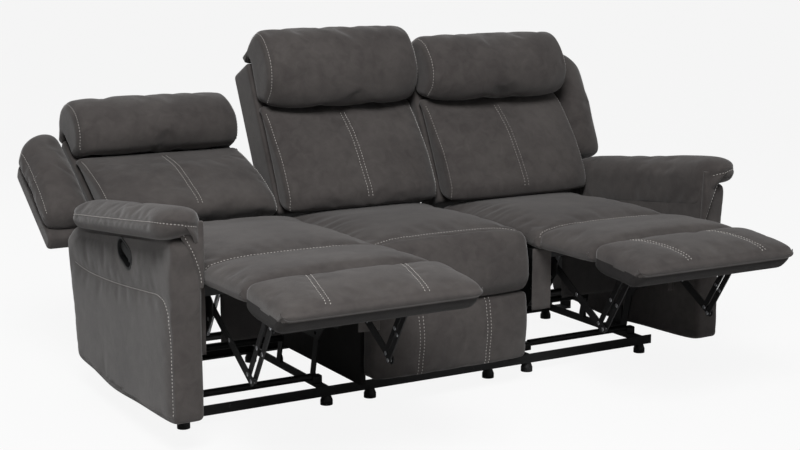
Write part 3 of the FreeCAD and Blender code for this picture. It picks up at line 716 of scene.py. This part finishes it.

# %% [markdown]
# ## Leg pads
# The pad between seat and footrest is made where the seat puts it and stays a plain mesh in
# the frame, tied to no body.


# %% Leg pads
LEG_EDGE = [(-157, 464), (-163, 484), (-228, 491), (-300, 491), (-370, 493), (-426, 489),
            (-433, 470), (-428, 450), (-370, 442), (-300, 441), (-228, 440), (-161, 442)]
LEG_CENTRE = [(-155, 472), (-163, 500), (-228, 512), (-300, 515), (-370, 516), (-428, 504),
              (-436, 476), (-428, 448), (-370, 439), (-300, 438), (-228, 438), (-161, 441)]
LEG_STEPS = [4, 7, 8, 8, 7, 4, 4, 7, 8, 8, 7, 4]
for side in ("left", "right"):
    rings = across(LEG_IN, LEG_OUT, LEG_EDGE, LEG_CENTRE, LEG_STEPS, 26, power=4.0)
    hold = hold_ends(LEG_IN, LEG_OUT, 10, lambda n: n[:, 2] < 0.0)
    pad, _ = upholster(side + "_leg_pad", rings, side, "seat",
                       [side + "_chaise_hinge_pad", side + "_chaise_pad"], held=hold,
                       growth=0.010, cap=0.009, rides=False)
    ends = placed([(568, -165, 480), (568, -300, 480)], side, "seat")
    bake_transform(pad)
print("leg pads made")

# %% [markdown]
# ## Footrest pads
# The footrest pad has a top, a front seam with a narrow border below it, and two curved double
# rows of stitching from the crease to the front seam.


# %% Footrests
CREASE, TILT, LINING_BELOW = (-440.0, 503.0), math.radians(6.0), -36


def on_footrest(s, n):
    """A point of the open footrest: s forward from the crease, n above its top line."""
    return (CREASE[0] - s * math.cos(TILT) - n * math.sin(TILT),
            CREASE[1] - s * math.sin(TILT) + n * math.cos(TILT))


def footrest_height(place, side):
    """How far a point of the frame is above the footrest's top line, in millimetres."""
    dy = place[1] * 1000 - SHIFT_Y - SLIDE[side][0] - CREASE[0]
    dz = place[2] * 1000 - SLIDE[side][1] - CREASE[1]
    return -dy * math.sin(TILT) + dz * math.cos(TILT)


FOOT_EDGE = [(0, -40), (1, -14), (12, -3), (50, 2), (115, 3), (180, 2), (222, -3), (231, -9),
             (236, -19), (232, -29), (224, -35), (208, -56), (186, -75), (115, -79), (30, -79),
             (4, -66)]
FOOT_CENTRE = [(-1, -40), (-1, -10), (12, 6), (50, 15), (115, 19), (180, 15), (222, 6), (231, -1),
               (239, -14), (235, -27), (225, -35)] + FOOT_EDGE[11:]
FOOT_STEPS = [4, 3, 5, 7, 7, 5, 2, 3, 3, 3, 5, 5, 11, 9, 5, 5]
for side in ("left", "right"):
    rings = across(LEG_IN, LEG_OUT, [on_footrest(*p) for p in FOOT_EDGE],
                   [on_footrest(*p) for p in FOOT_CENTRE], FOOT_STEPS, 24, power=4.0)
    front = smooth_line([(LEG_IN + 6 + (LEG_OUT - LEG_IN - 12) * t, *on_footrest(s, n))
                         for t, s, n in ((0.0, 150, -14), (0.005, 215, -12), (0.03, 231, -4),
                                         (0.25, 233, 1), (0.5, 233, 2), (0.75, 233, 1),
                                         (0.97, 231, -4), (0.995, 215, -12), (1.0, 150, -14))])
    under = smooth_line([(LEG_IN + 6 + (LEG_OUT - LEG_IN - 12) * t, *on_footrest(224, -35))
                         for t in (0.0, 0.25, 0.5, 0.75, 1.0)])
    curves = []
    for centre in (427, 707):
        curves.append(smooth_line([(centre + bow, *on_footrest(s, 16 - abs(s - 115) * 0.06))
                                   for s, bow in ((4, -26), (60, -8), (120, 8), (180, 20),
                                                  (228, 26))]))
    hold = hold_ends(LEG_IN, LEG_OUT, 10, lambda n: n[:, 2] < 0.3)
    pad, lines = upholster(side + "_footrest_cover", rings, side, "footrest",
                           [side + "_footrest_pad", side + "_footrest_board"],
                           seams=[front, under] + curves, held=hold, growth=0.010, cap=0.008,
                           depth=0.0035, width=0.007)
    pad.data.materials.append(LINING)
    for face in pad.data.polygons:
        if footrest_height(face.center, side) < LINING_BELOW:
            face.material_index = 1
    plan_stitches(pad, lines[2:], side + "_footrest", twin=0.013)
print("footrests made")

# %% [markdown]
# ## Back cushions
# Each back is fullest over the lumbar, with a double row of stitching down the middle, and a
# side border that starts at a single row of stitching near each end.


# %% Backs
BACK_EDGE = [(400, 513), (366, 517), (362, 556), (384, 608), (420, 672), (468, 735), (508, 785),
             (534, 812), (558, 832), (577, 832), (538, 755), (498, 672), (460, 592), (432, 530)]
BACK_CENTRE = [(384, 513), (334, 515), (322, 552), (347, 602), (383, 658), (432, 725), (478, 770),
               (516, 802), (550, 829), (576, 832)] + BACK_EDGE[10:]
BACK_STEPS = [3, 4, 7, 8, 8, 8, 6, 4, 3, 12, 12, 12, 10, 5]
for side, (x0, x1) in SEATS.items():
    rings = across(x0, x1, BACK_EDGE, BACK_CENTRE, BACK_STEPS, 18, power=4.5)
    middle = (x0 + x1) / 2
    centre = smooth_line([(middle, y, z) for y, z in BACK_CENTRE[2:8]])
    borders = [smooth_line([(x, y, z) for y, z in BACK_EDGE[1:8]]) for x in (x0 + 8, x1 - 8)]
    hold = hold_ends(x0, x1, 12, lambda n: n[:, 1] > -0.2)
    back, lines = upholster(side + "_back_cover", rings, side, "back", [side + "_back_cushion"],
                            seams=[centre] + borders, held=hold, growth=0.013, cap=0.011,
                            depth=0.003, width=0.008)
    plan_stitches(back, lines[:1], body_of(side, "back"), twin=0.015)
    plan_stitches(back, lines[1:], body_of(side, "back"))
print("backs made")

# %% [markdown]
# ## Headrests
# The headrest is a loose roll that hangs over the back cushion and hides where they join. The
# middle one stands taller than the two outer ones.

# %% Headrest rolls
ROLL_EDGE = [(562, 848), (524, 850), (495, 888), (486, 930), (492, 972), (511, 1012), (552, 1058),
             (606, 1073), (657, 1040)]
ROLL_CENTRE = [(545, 838), (497, 824), (464, 862), (455, 910), (462, 962), (484, 1010),
               (534, 1072), (600, 1088), (664, 1050)]
ROLL_STEPS = [3, 5, 5, 5, 5, 6, 6, 6, 7, 8, 16, 18, 6]
BACK_FOOT, BACK_LEAN = (492.0, 636.0), math.radians(26.0)
CREASE_Z = 840.0


def on_back(s, n):
    """A point of the upright back: s up its front plane, n behind the plane."""
    return (BACK_FOOT[0] + s * math.sin(BACK_LEAN) + n * math.cos(BACK_LEAN),
            BACK_FOOT[1] + s * math.cos(BACK_LEAN) - n * math.sin(BACK_LEAN))


def roll_section(front, top, rise):
    shape = [(y, CREASE_Z + (z - CREASE_Z) * rise) for y, z in front]
    return shape + [on_back(top + 12, 38), on_back(top + 5, -3), on_back(290, -4), on_back(238, -3)]


for side, (x0, x1) in SEATS.items():
    top, rise = BACK_TOP[side], 1.0 if side == "middle" else 0.86
    rings = across(x0, x1, roll_section(ROLL_EDGE, top, rise), roll_section(ROLL_CENTRE, top, rise),
                   ROLL_STEPS, 22, power=4.0)
    ends = [smooth_line([(x, *p) for p in roll_section(ROLL_EDGE, top, rise)[1:9]])
            for x in (x0 + 7, x1 - 7)]
    hold = hold_ends(x0, x1, 10, lambda n: n[:, 1] > 0.5)
    roll, lines = upholster(side + "_headrest_cover", rings, side, "back", [side + "_headrest"],
                            seams=ends, held=hold, growth=0.022, cap=0.012, depth=0.003,
                            width=0.007)
    plan_stitches(roll, lines, body_of(side, "back"))
print("headrests made")

# %% [markdown]
# ## Wings
# Each outer back carries a padded wing above the arm. It is stitched down its side.

# %% Wing pads
WING_EDGE = [(-20, 26), (-10, 6), (80, -2), (165, -5), (260, -2), (346, 5), (354, 28), (346, 54),
             (165, 55), (-14, 54)]
WING_CENTRE = [(-32, 20), (-18, -12), (80, -34), (165, -42), (260, -34), (366, -12), (386, 20),
               (370, 60), (165, 61), (-24, 60)]
WING_STEPS = [4, 7, 7, 7, 7, 5, 5, 16, 16, 5]
WING_IN, WING_OUT = 858.0, 1008.0


def tapered(s, out):
    """The upper part of a wing leans in towards its outer side; out runs from 0 to 1."""
    return s * (1 - 0.17 * out ** 2 * (s > 165))


for side in ("left", "right"):
    rings = across(WING_IN, WING_OUT, WING_EDGE, WING_CENTRE, WING_STEPS, 24, power=2.4, columns=12)
    out = (rings[:, :, 0] - WING_IN) / (WING_OUT - WING_IN)
    rings[:, :, 1], rings[:, :, 2] = on_back(tapered(rings[:, :, 1], out), rings[:, :, 2].copy())
    seam = smooth_line([(WING_OUT - 12, *on_back(s, n)) for s, n in
                        ((0, 10), (60, 2), (165, -4), (260, 2), (300, 14))])
    hold = hold_ends(WING_IN, WING_OUT + 20, 10, lambda n: n[:, 1] > 0.4)
    wing, lines = upholster(side + "_wing_cover", rings, side, "back", [side + "_wing_pad"],
                            seams=[seam], held=hold, growth=0.012, cap=0.007, depth=0.003,
                            width=0.007)
    plan_stitches(wing, lines, side + "_back")
print("wings made")

# %% [markdown]
# ## Arms
# The arm is a tall slim box with a soft skin. Its outer panel is sewn in two parts along a long
# curve. A pillow lies along its top and rolls over its front end.

# %% Opening for the release cup
CUP, CUP_TILT, CUP_REACH, CUP_RADIUS = (109.0, 507.0), math.radians(20.0), 25.0, 32.0
CUP_STILL = 85.0


def cup_ring(x):
    """A ring with two straight sides and two round ends, a little larger than the cup."""
    ring = []
    for turn in np.radians(np.arange(0, 360, 12) + 6):
        way = CUP_REACH if math.cos(turn) > 0 else -CUP_REACH
        a, b = way + CUP_RADIUS * math.cos(turn), CUP_RADIUS * math.sin(turn)
        ring.append((x, CUP[0] + a * math.cos(CUP_TILT) - b * math.sin(CUP_TILT),
                     CUP[1] + a * math.sin(CUP_TILT) + b * math.cos(CUP_TILT)))
    return ring


def open_for_cup(arm, side):
    cutter = skin("cutter", np.array([cup_ring(917.0), cup_ring(990.0)]), side, "fixed", 2)
    cut = arm.modifiers.new("cup", "BOOLEAN")
    cut.operation = "DIFFERENCE"
    cut.solver = "EXACT"
    cut.object = cutter
    settled(arm, cut)
    bpy.data.objects.remove(cutter)
    print(arm.name, "opened for the cup", len(arm.data.polygons), "faces")


# %% Arm boxes
ARM_RING = [(266, 68), (60, 77), (-215, 92), (-233, 100), (-237, 130), (-235, 349), (-242, 500),
            (-246, 588), (-233, 601), (40, 571), (200, 552), (400, 529), (548, 511), (600, 484),
            (632, 458), (631, 425), (603, 270), (573, 112), (560, 95), (420, 82)]
ARM_STEPS = [14, 14, 3, 4, 14, 12, 8, 3, 18, 8, 10, 8, 6, 6, 6, 14, 14, 4, 16, 14]
ARM_IN, ARM_OUT = 858.5, 948.0
for side in ("left", "right"):
    rings = across(ARM_IN, ARM_OUT, ARM_RING, ARM_RING, ARM_STEPS, 15, columns=5)
    curve = smooth_line([(ARM_OUT, y, z) for y, z in
                         ((560, 398), (430, 392), (194, 404), (-58, 428), (-143, 434), (-196, 414),
                          (-216, 349), (-220, 240), (-222, 120))])

    def hold_arm(obj):
        """The inner side, the underside, the rear, the part below the pillow and the cup's rim."""
        p, n = coords(obj) * 1000, normals(obj)
        y = p[:, 1] - SHIFT_Y
        return ((np.abs(p[:, 0]) < ARM_IN + 20) | (p[:, 2] < 92) | (n[:, 1] > 0.5)
                | (p[:, 2] > 560 - (y + 240) * 0.1)
                | (np.hypot(y - CUP[0], p[:, 2] - CUP[1]) < CUP_STILL))

    arm, lines = upholster(side + "_arm_cover", rings, side, "fixed", [side + "_arm"],
                           seams=[curve], held=hold_arm, growth=0.004, cap=0.004, depth=0.004,
                           width=0.008, puff=(0.0, 1.2), spans=56, pressure=2.0)
    open_for_cup(arm, side)
    plan_stitches(arm, lines, "root")
print("arm boxes made")

# %% Arm pillows
PAD_IN, PAD_OUT, PAD_FRONT, PAD_REAR = 857.5, 992.0, -280.0, 500.0
PAD_FRONT_ROLL, PAD_REAR_ROLL = 76.0, 90.0


def arm_top(y):
    """The height of the arm's sloping top."""
    return 604 - 0.1151 * (y + 248)


def pillow_ring(y, fullness):
    middle, half = (PAD_IN + PAD_OUT) / 2, (PAD_OUT - PAD_IN) / 2 * fullness
    thick = 86 - 6 * (y - PAD_FRONT) / (PAD_REAR - PAD_FRONT)
    low = arm_top(y) + 1 + thick * (1 - fullness) / 2
    rise = thick * fullness
    skirt = 64 * fullness ** 2
    section = [(middle - half, low + rise * 0.45), (middle - half * 0.80, low + rise * 0.86),
               (middle, low + rise), (middle + half * 0.80, low + rise * 0.82),
               (middle + half, low + rise * 0.42), (middle + half * 0.80, low + rise * 0.06),
               (middle + half * 0.3, low - 2), (middle - half * 0.6, low - 3),
               (middle - half + 6, low - skirt), (middle - half + 0.6, low - skirt + 2),
               (middle - half + 0.2, low - skirt * 0.4), (middle - half, low + rise * 0.1)]
    ring = ring_through(section, [6, 8, 8, 7, 6, 6, 6, 6, 2, 4, 4, 3])
    return np.column_stack([ring[:, 0], np.full(len(ring), y), ring[:, 1]])


angles = np.radians(np.linspace(10, 90, 9))
stations = [(PAD_FRONT + PAD_FRONT_ROLL * (1 - math.cos(a)), math.sin(a)) for a in angles]
stations += [(y, 1.0) for y in np.linspace(PAD_FRONT + PAD_FRONT_ROLL,
                                           PAD_REAR - PAD_REAR_ROLL, 50)[1:-1]]
stations += [(PAD_REAR - PAD_REAR_ROLL * (1 - math.cos(a)), math.sin(a)) for a in angles[::-1]]
for side in ("left", "right"):
    rings = np.array([pillow_ring(y, full) for y, full in stations])
    edge = smooth_line([(x, y, arm_top(y) + rise) for x, y, rise in
                        ((982, 470, 44), (986, 300, 46), (986, 0, 48), (984, -200, 50),
                         (962, -262, 46), (930, -280, 40), (880, -268, 30))])
    pillow, lines = upholster(side + "_arm_pillow", rings, side, "fixed", [side + "_arm_pad"],
                              seams=[edge], held=lambda obj: normals(obj)[:, 2] < -0.2,
                              growth=0.010, cap=0.007, depth=0.003, width=0.008)
    plan_stitches(pillow, lines, "root")
print("arm pillows made")

# %% [markdown]
# At its front end the pillow's cloth runs on down the inner corner of the arm as a narrow flap,
# wide under the roll and pointed at the bottom, with a row of stitches along its slanted edge.

# %% Front flaps
FLAP_LOW, FLAP_HIGH, FLAP_IN = 466.0, 648.0, 857.7
for side in ("left", "right"):
    rings, slant = [], []
    for t in np.linspace(0.0, 1.0, 22):
        z = FLAP_LOW + (FLAP_HIGH - FLAP_LOW) * t
        wide, deep = 9 + 80 * t ** 1.5, 5 + 9 * math.sin(math.pi * min(1.0, t * 1.1))
        face = -240.5 - (z - FLAP_LOW) * 0.045
        section = [(FLAP_IN, face + 6), (FLAP_IN, face - deep * 0.5), (861, face - deep)]
        section += [(FLAP_IN + wide * a, face - deep * b) for a, b in ((0.5, 1.15), (0.85, 0.7))]
        section += [(FLAP_IN + wide, face + 1), (FLAP_IN + wide * 0.8, face + 8), (862, face + 9)]
        ring = ring_through(section, [2, 2, 4, 4, 3, 3, 4, 2])
        rings.append(np.column_stack([ring[:, 0], ring[:, 1], np.full(len(ring), z)]))
        slant.append((FLAP_IN + wide * 0.86, face - deep, z))
    flap, lines = upholster(side + "_arm_flap", np.array(rings), side, "fixed", (),
                            seams=[np.array(slant[2:19])], depth=0.0015, width=0.005)
    plan_stitches(flap, lines, "root")
print("front flaps made")

# %% [markdown]
# ## Fixed middle front
# Below the middle seat a bulging bib hangs over a flatter panel, which has two double rows of
# stitching.

# %% Middle front
BIB_EDGE = [(-76, 304), (-104, 307), (-130, 342), (-131, 380), (-126, 415), (-118, 450),
            (-106, 474), (-87, 483), (-84, 468), (-82, 437), (-55, 428), (-53, 370), (-54, 312)]
BIB_CENTRE = [(-80, 303), (-120, 306), (-149, 340), (-152, 378), (-146, 420), (-137, 460),
              (-120, 489), (-90, 502), (-86, 478), (-85, 437), (-55, 428), (-53, 370), (-54, 310)]
BIB_STEPS = [4, 6, 5, 5, 5, 5, 4, 3, 4, 5, 8, 8, 4]
rings = across(-277, 277, BIB_EDGE, BIB_CENTRE, BIB_STEPS, 22, power=4.0)
hold = hold_ends(-277, 277, 10, lambda n: n[:, 1] > -0.2)
upholster("middle_bib_cover", rings, "middle", "fixed", ["middle_front_bib"], held=hold,
          growth=0.015, cap=0.010)

PANEL_EDGE = [(-80, 92), (-110, 95), (-117, 140), (-123, 200), (-120, 255), (-110, 296), (-80, 301),
              (-55, 298), (-53, 200), (-55, 94)]
PANEL_CENTRE = [(-80, 87), (-122, 91), (-133, 140), (-140, 200), (-134, 255), (-120, 299),
                (-80, 302), (-55, 299), (-53, 200), (-55, 90)]
PANEL_STEPS = [4, 6, 7, 7, 6, 5, 4, 12, 12, 5]
rings = across(-277, 277, PANEL_EDGE, PANEL_CENTRE, PANEL_STEPS, 18, power=6.0)
rows = [smooth_line([(x, y, z) for y, z in ((-118, 296), (-134, 255), (-141, 200), (-133, 140),
                                            (-122, 96))]) for x in (-119, 120)]
hold = hold_ends(-277, 277, 10, lambda n: n[:, 1] > -0.2)
panel, lines = upholster("middle_panel_cover", rings, "middle", "fixed", ["middle_front_panel"],
                         seams=rows, held=hold, growth=0.006, cap=0.006, depth=0.003, width=0.008)
plan_stitches(panel, lines, "root", twin=0.014)

# %% [markdown]
# ## Covers over the wooden frames
# Behind each cushion stands a wooden box, and behind each wing a board. Both are covered with the
# same cloth, pulled tight over padded corners, so a rounded box is all that shows of them.


# %% Covered frames
def soft_corners(s0, s1, n0, n1, radius):
    """A rounded rectangle in back coordinates, as (s, n) points."""
    ring = []
    for s, n, start in ((s0, n0, 180), (s0, n1, 90), (s1, n1, 0), (s1, n0, 270)):
        cs = s + radius if s == s0 else s - radius
        cn = n + radius if n == n0 else n - radius
        for turn in (90, 60, 30, 0):
            a = math.radians(start + turn)
            ring.append((cs + radius * math.cos(a), cn + radius * math.sin(a)))
    out = []
    for a, b in zip(ring, ring[1:] + ring[:1]):
        count = max(1, int(math.dist(a, b) / 18))
        out += [(a[0] + (b[0] - a[0]) * k / count, a[1] + (b[1] - a[1]) * k / count)
                for k in range(count)]
    if len(out) % 2:
        out.append(((out[-1][0] + out[0][0]) / 2, (out[-1][1] + out[0][1]) / 2))
    return out


def covered_box(name, x0, x1, section, side, nodes=(), taper=False, columns=14):
    rings = across(x0, x1, section, section, [1] * len(section), 12, columns=columns)
    s, n = rings[:, :, 1].copy(), rings[:, :, 2].copy()
    if taper:
        s = tapered(s, (rings[:, :, 0] - x0) / (x1 - x0))
    rings[:, :, 1], rings[:, :, 2] = on_back(s, n)
    box = skin(name, rings, side, "back", 8)
    refine(box)
    box.data.materials.append(COVER)
    if nodes:
        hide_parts(*nodes)
    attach(box, body_of(side, "back"))
    return box


for side, (x0, x1) in SEATS.items():
    covered_box(side + "_back_shell", x0 - 1.2, x1 + 1.2,
                soft_corners(-151, BACK_TOP[side] + 3, 3, 129, 16), side,
                [side + "_back_frame"], columns=24)
    if side != "middle":
        covered_box(side + "_wing_shell", 849.0, 1003.0, soft_corners(-64, 360, 58, 115, 18),
                    side, taper=True)
print("frames covered")

# %% [markdown]
# A curtain of the same cloth hangs under the front of each recliner, beside the links, and a
# thin black dust cloth closes the middle. They hang a little unevenly, as loose cloth does.


# %% Curtains under the recliners
def curtain(name, side, x0, x1, y, z0, z1, material, wave):
    columns, rows, thick = 24, 14, 1.2
    outer, inner = [], []
    for j in range(rows + 1):
        for i in range(columns + 1):
            u, v = i / columns, j / rows
            sway = wave * (1 - v) * math.sin(u * 9.0 + 0.8 * math.sin(v * 4.0)) + wave * 0.4 * u
            x, z = x0 + (x1 - x0) * u, z0 + (z1 - z0) * v
            outer.append((x, y + sway, z))
            inner.append((x, y + sway + thick, z))
    width, total = columns + 1, (columns + 1) * (rows + 1)
    faces = []
    for j in range(rows):
        for i in range(columns):
            a = j * width + i
            faces.append((a, a + 1, a + 1 + width, a + width))
            faces.append((total + a, total + a + width, total + a + 1 + width, total + a + 1))
    rim = ([i for i in range(width)] + [j * width + columns for j in range(1, rows + 1)]
           + [rows * width + i for i in range(columns - 1, -1, -1)]
           + [j * width for j in range(rows - 1, 0, -1)])
    for a, b in zip(rim, rim[1:] + rim[:1]):
        faces.append((a, a + total, b + total, b))
    obj = sewn_up(name, outer + inner, faces, side, "seat")
    obj.data.materials.append(material)
    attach(obj, side + "_seat")


for side in ("left", "right"):
    curtain(side + "_inner_curtain", side, 288, 358, -122, 238, 434, COVER, 2.0)
    curtain(side + "_outer_curtain", side, 829, 852, -122, 238, 434, COVER, 1.0)
    curtain(side + "_dust_cloth", side, 408, 780, -112, 262, 404, LINING, 3.0)
print("curtains hung")

# %% [markdown]
# ## Rivets and springs
# Every pivot of the linkage is closed by a low, round rivet head. The plates lie only 1 mm
# apart, so a head can stand out by less than half of that. One small tree puts a flattened
# ball on each point of a mesh, and the points are the pivots, read from the drawing. A second
# tree winds the tension springs.


# %% Rivet tree
def rivet_tree():
    grower = Grower("rivets", Radius=0.0065, Height=0.00045)
    points = grower.add("GeometryNodeMeshToPoints", i0=grower.given("Geometry"))
    radius = grower.given("Radius")
    return grower.painted(grower.balls(points.outputs[0], 10, 6, grower.given("Height"), radius,
                                       radius))


def zinc_piece(name, mesh, tree, body):
    obj = grown(name, mesh, tree, ZINC, body)
    obj.data.polygons.foreach_set("use_smooth", [True] * len(obj.data.polygons))
    return obj


# %% Rivets on the linkage
INNER_PLATES, OUTER_PLATES, PLATE_PITCH, PLATE_WALL = 367.0, 817.0, 5.0, 4.0
RIVETS = {
    "lift": (4, [(-110, 366), (-337, 233), (-359, 219), (-224, 299)], "seat"),
    "reach_rear": (5, [(-337, 233), (-440, 398), (-388, 315)], "seat"),
    "reach_front": (6, [(-359, 219), (-462, 384), (-410, 302)], "seat"),
    "footrest": (7, [(-440, 398), (-462, 384)], "footrest"),
    "seat": (3, [(405, 190), (20, 272), (260, 272), (-96, 330), (120, 300), (350, 300)], "seat"),
    "back": (4, [(405, 190), (456, 262), (500, 318)], "back"),
}
RIVET_TREE = rivet_tree()
for side in ("left", "right"):
    for part, (number, pivots, moving) in RIVETS.items():
        low = INNER_PLATES + (number - 1) * PLATE_PITCH
        high = OUTER_PLATES - (number - 1) * PLATE_PITCH
        heads = [(x, y, z) for y, z in pivots
                 for x in (low, low + PLATE_WALL, high, high + PLATE_WALL)]
        mesh = bpy.data.meshes.new("pivots")
        mesh.from_pydata([tuple(p) for p in placed(heads, side, moving)], [], [])
        zinc_piece(side + "_" + part + "_rivets", mesh, RIVET_TREE, side + "_" + part)
print("rivets set")


# %% Wound springs
def spring_tree(turns, radius, wire, length):
    grower = Grower("spring")
    coil = grower.add("GeometryNodeCurveSpiral", Resolution=14, Rotations=turns,
                      Start_Radius=radius, End_Radius=radius, Height=length)
    profile = grower.add("GeometryNodeCurvePrimitiveCircle", Resolution=6, Radius=wire)
    tube = grower.add("GeometryNodeCurveToMesh", Curve=coil.outputs[0],
                      Profile_Curve=profile.outputs["Curve"], Fill_Caps=True)
    return grower.painted(tube.outputs[0])


LOW, HIGH = (-6.0, 263.0), (-90.0, 397.0)
SPRING_LENGTH = math.dist(LOW, HIGH)
SPRING_TREE = spring_tree(34.0, 0.0055, 0.0011, SPRING_LENGTH / 1000)
ALONG = np.array([0, HIGH[0] - LOW[0], HIGH[1] - LOW[1]]) / SPRING_LENGTH
SIDEWAYS = np.array([1.0, 0, 0])
THIRD = np.cross(ALONG, SIDEWAYS)
for side in ("left", "right"):
    for count, x in enumerate((412.0, 776.0)):
        spring = zinc_piece(side + "_assist_coil_" + str(count + 1),
                            bpy.data.meshes.new("start"), SPRING_TREE, side + "_seat")
        local = coords(spring) * 1000
        drawn = (np.array([x, *LOW]) + local[:, :1] * SIDEWAYS + local[:, 1:2] * THIRD
                 + local[:, 2:] * ALONG)
        spring.data.vertices.foreach_set("co", placed(drawn, side, "seat").ravel())
        if side == "left":
            spring.data.flip_normals()
        spring.data.update()
        if count == 0:
            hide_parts(side + "_assist_springs")
print("springs wound")

# %% Sew every seam
sew()

# %% [markdown]
# ## Floor and light
# A plain pale floor and soft studio light: one broad lamp above the front left, a weak one on
# the right, another behind, and an even glow from all round. The camera sees floor and
# surroundings as nearly white, but the sofa is lit by their real, dimmer light.

# %% Studio
REACH = 300
floor = bpy.data.meshes.new("floor")
floor.from_pydata([(-REACH, -REACH, 0), (REACH, -REACH, 0), (REACH, REACH, 0), (-REACH, REACH, 0)],
                  [], [(0, 1, 2, 3)])
floor_obj = added("floor", floor)


def for_camera(tree, lit, seen, share, end):
    """Light meets the first shader, and the camera sees mostly the second one."""
    rays = Value(tree, tree.nodes.new("ShaderNodeLightPath").outputs["Is Camera Ray"])
    mix = made_node(tree, "ShaderNodeMixShader", i0=(rays * share).socket, i1=lit, i2=seen)
    tree.links.new(mix.outputs[0], tree.nodes[end].inputs[0])


WHITE = (1, 1, 1, 1)
paper, paper_shader, _ = finish_named("paper")
paper_shader.inputs["Base Color"].default_value = srgb(214, 214, 214)
paper_shader.inputs["Roughness"].default_value = 0.9
bright = made_node(paper.node_tree, "ShaderNodeEmission", Strength=1.0)
for_camera(paper.node_tree, paper_shader.outputs[0], bright.outputs[0], 0.90, "Material Output")
floor.materials.append(paper)

world = bpy.data.worlds.new("studio")
bpy.context.scene.world = world
world.use_nodes = True
glow, white = (made_node(world.node_tree, "ShaderNodeBackground", Color=WHITE, Strength=strength)
               for strength in (0.17, 1.0))
for_camera(world.node_tree, glow.outputs[0], white.outputs[0], 1.0, "World Output")


def lamp(name, place, aim, size, power):
    data = bpy.data.lights.new(name, "AREA")
    data.shape = "SQUARE"
    data.size = size
    data.energy = power
    obj = added(name, data)
    obj.location = place
    obj.rotation_euler = (Vector(aim) - Vector(place)).to_track_quat("-Z", "Y").to_euler()


lamp("key", (-1.9, -2.9, 4.0), (0, 0, 0.4), 1.9, 235)
lamp("fill", (3.4, -2.6, 2.4), (0, 0, 0.5), 2.4, 12)
lamp("rim", (0.5, 3.4, 3.0), (0, 0, 0.8), 2.4, 40)
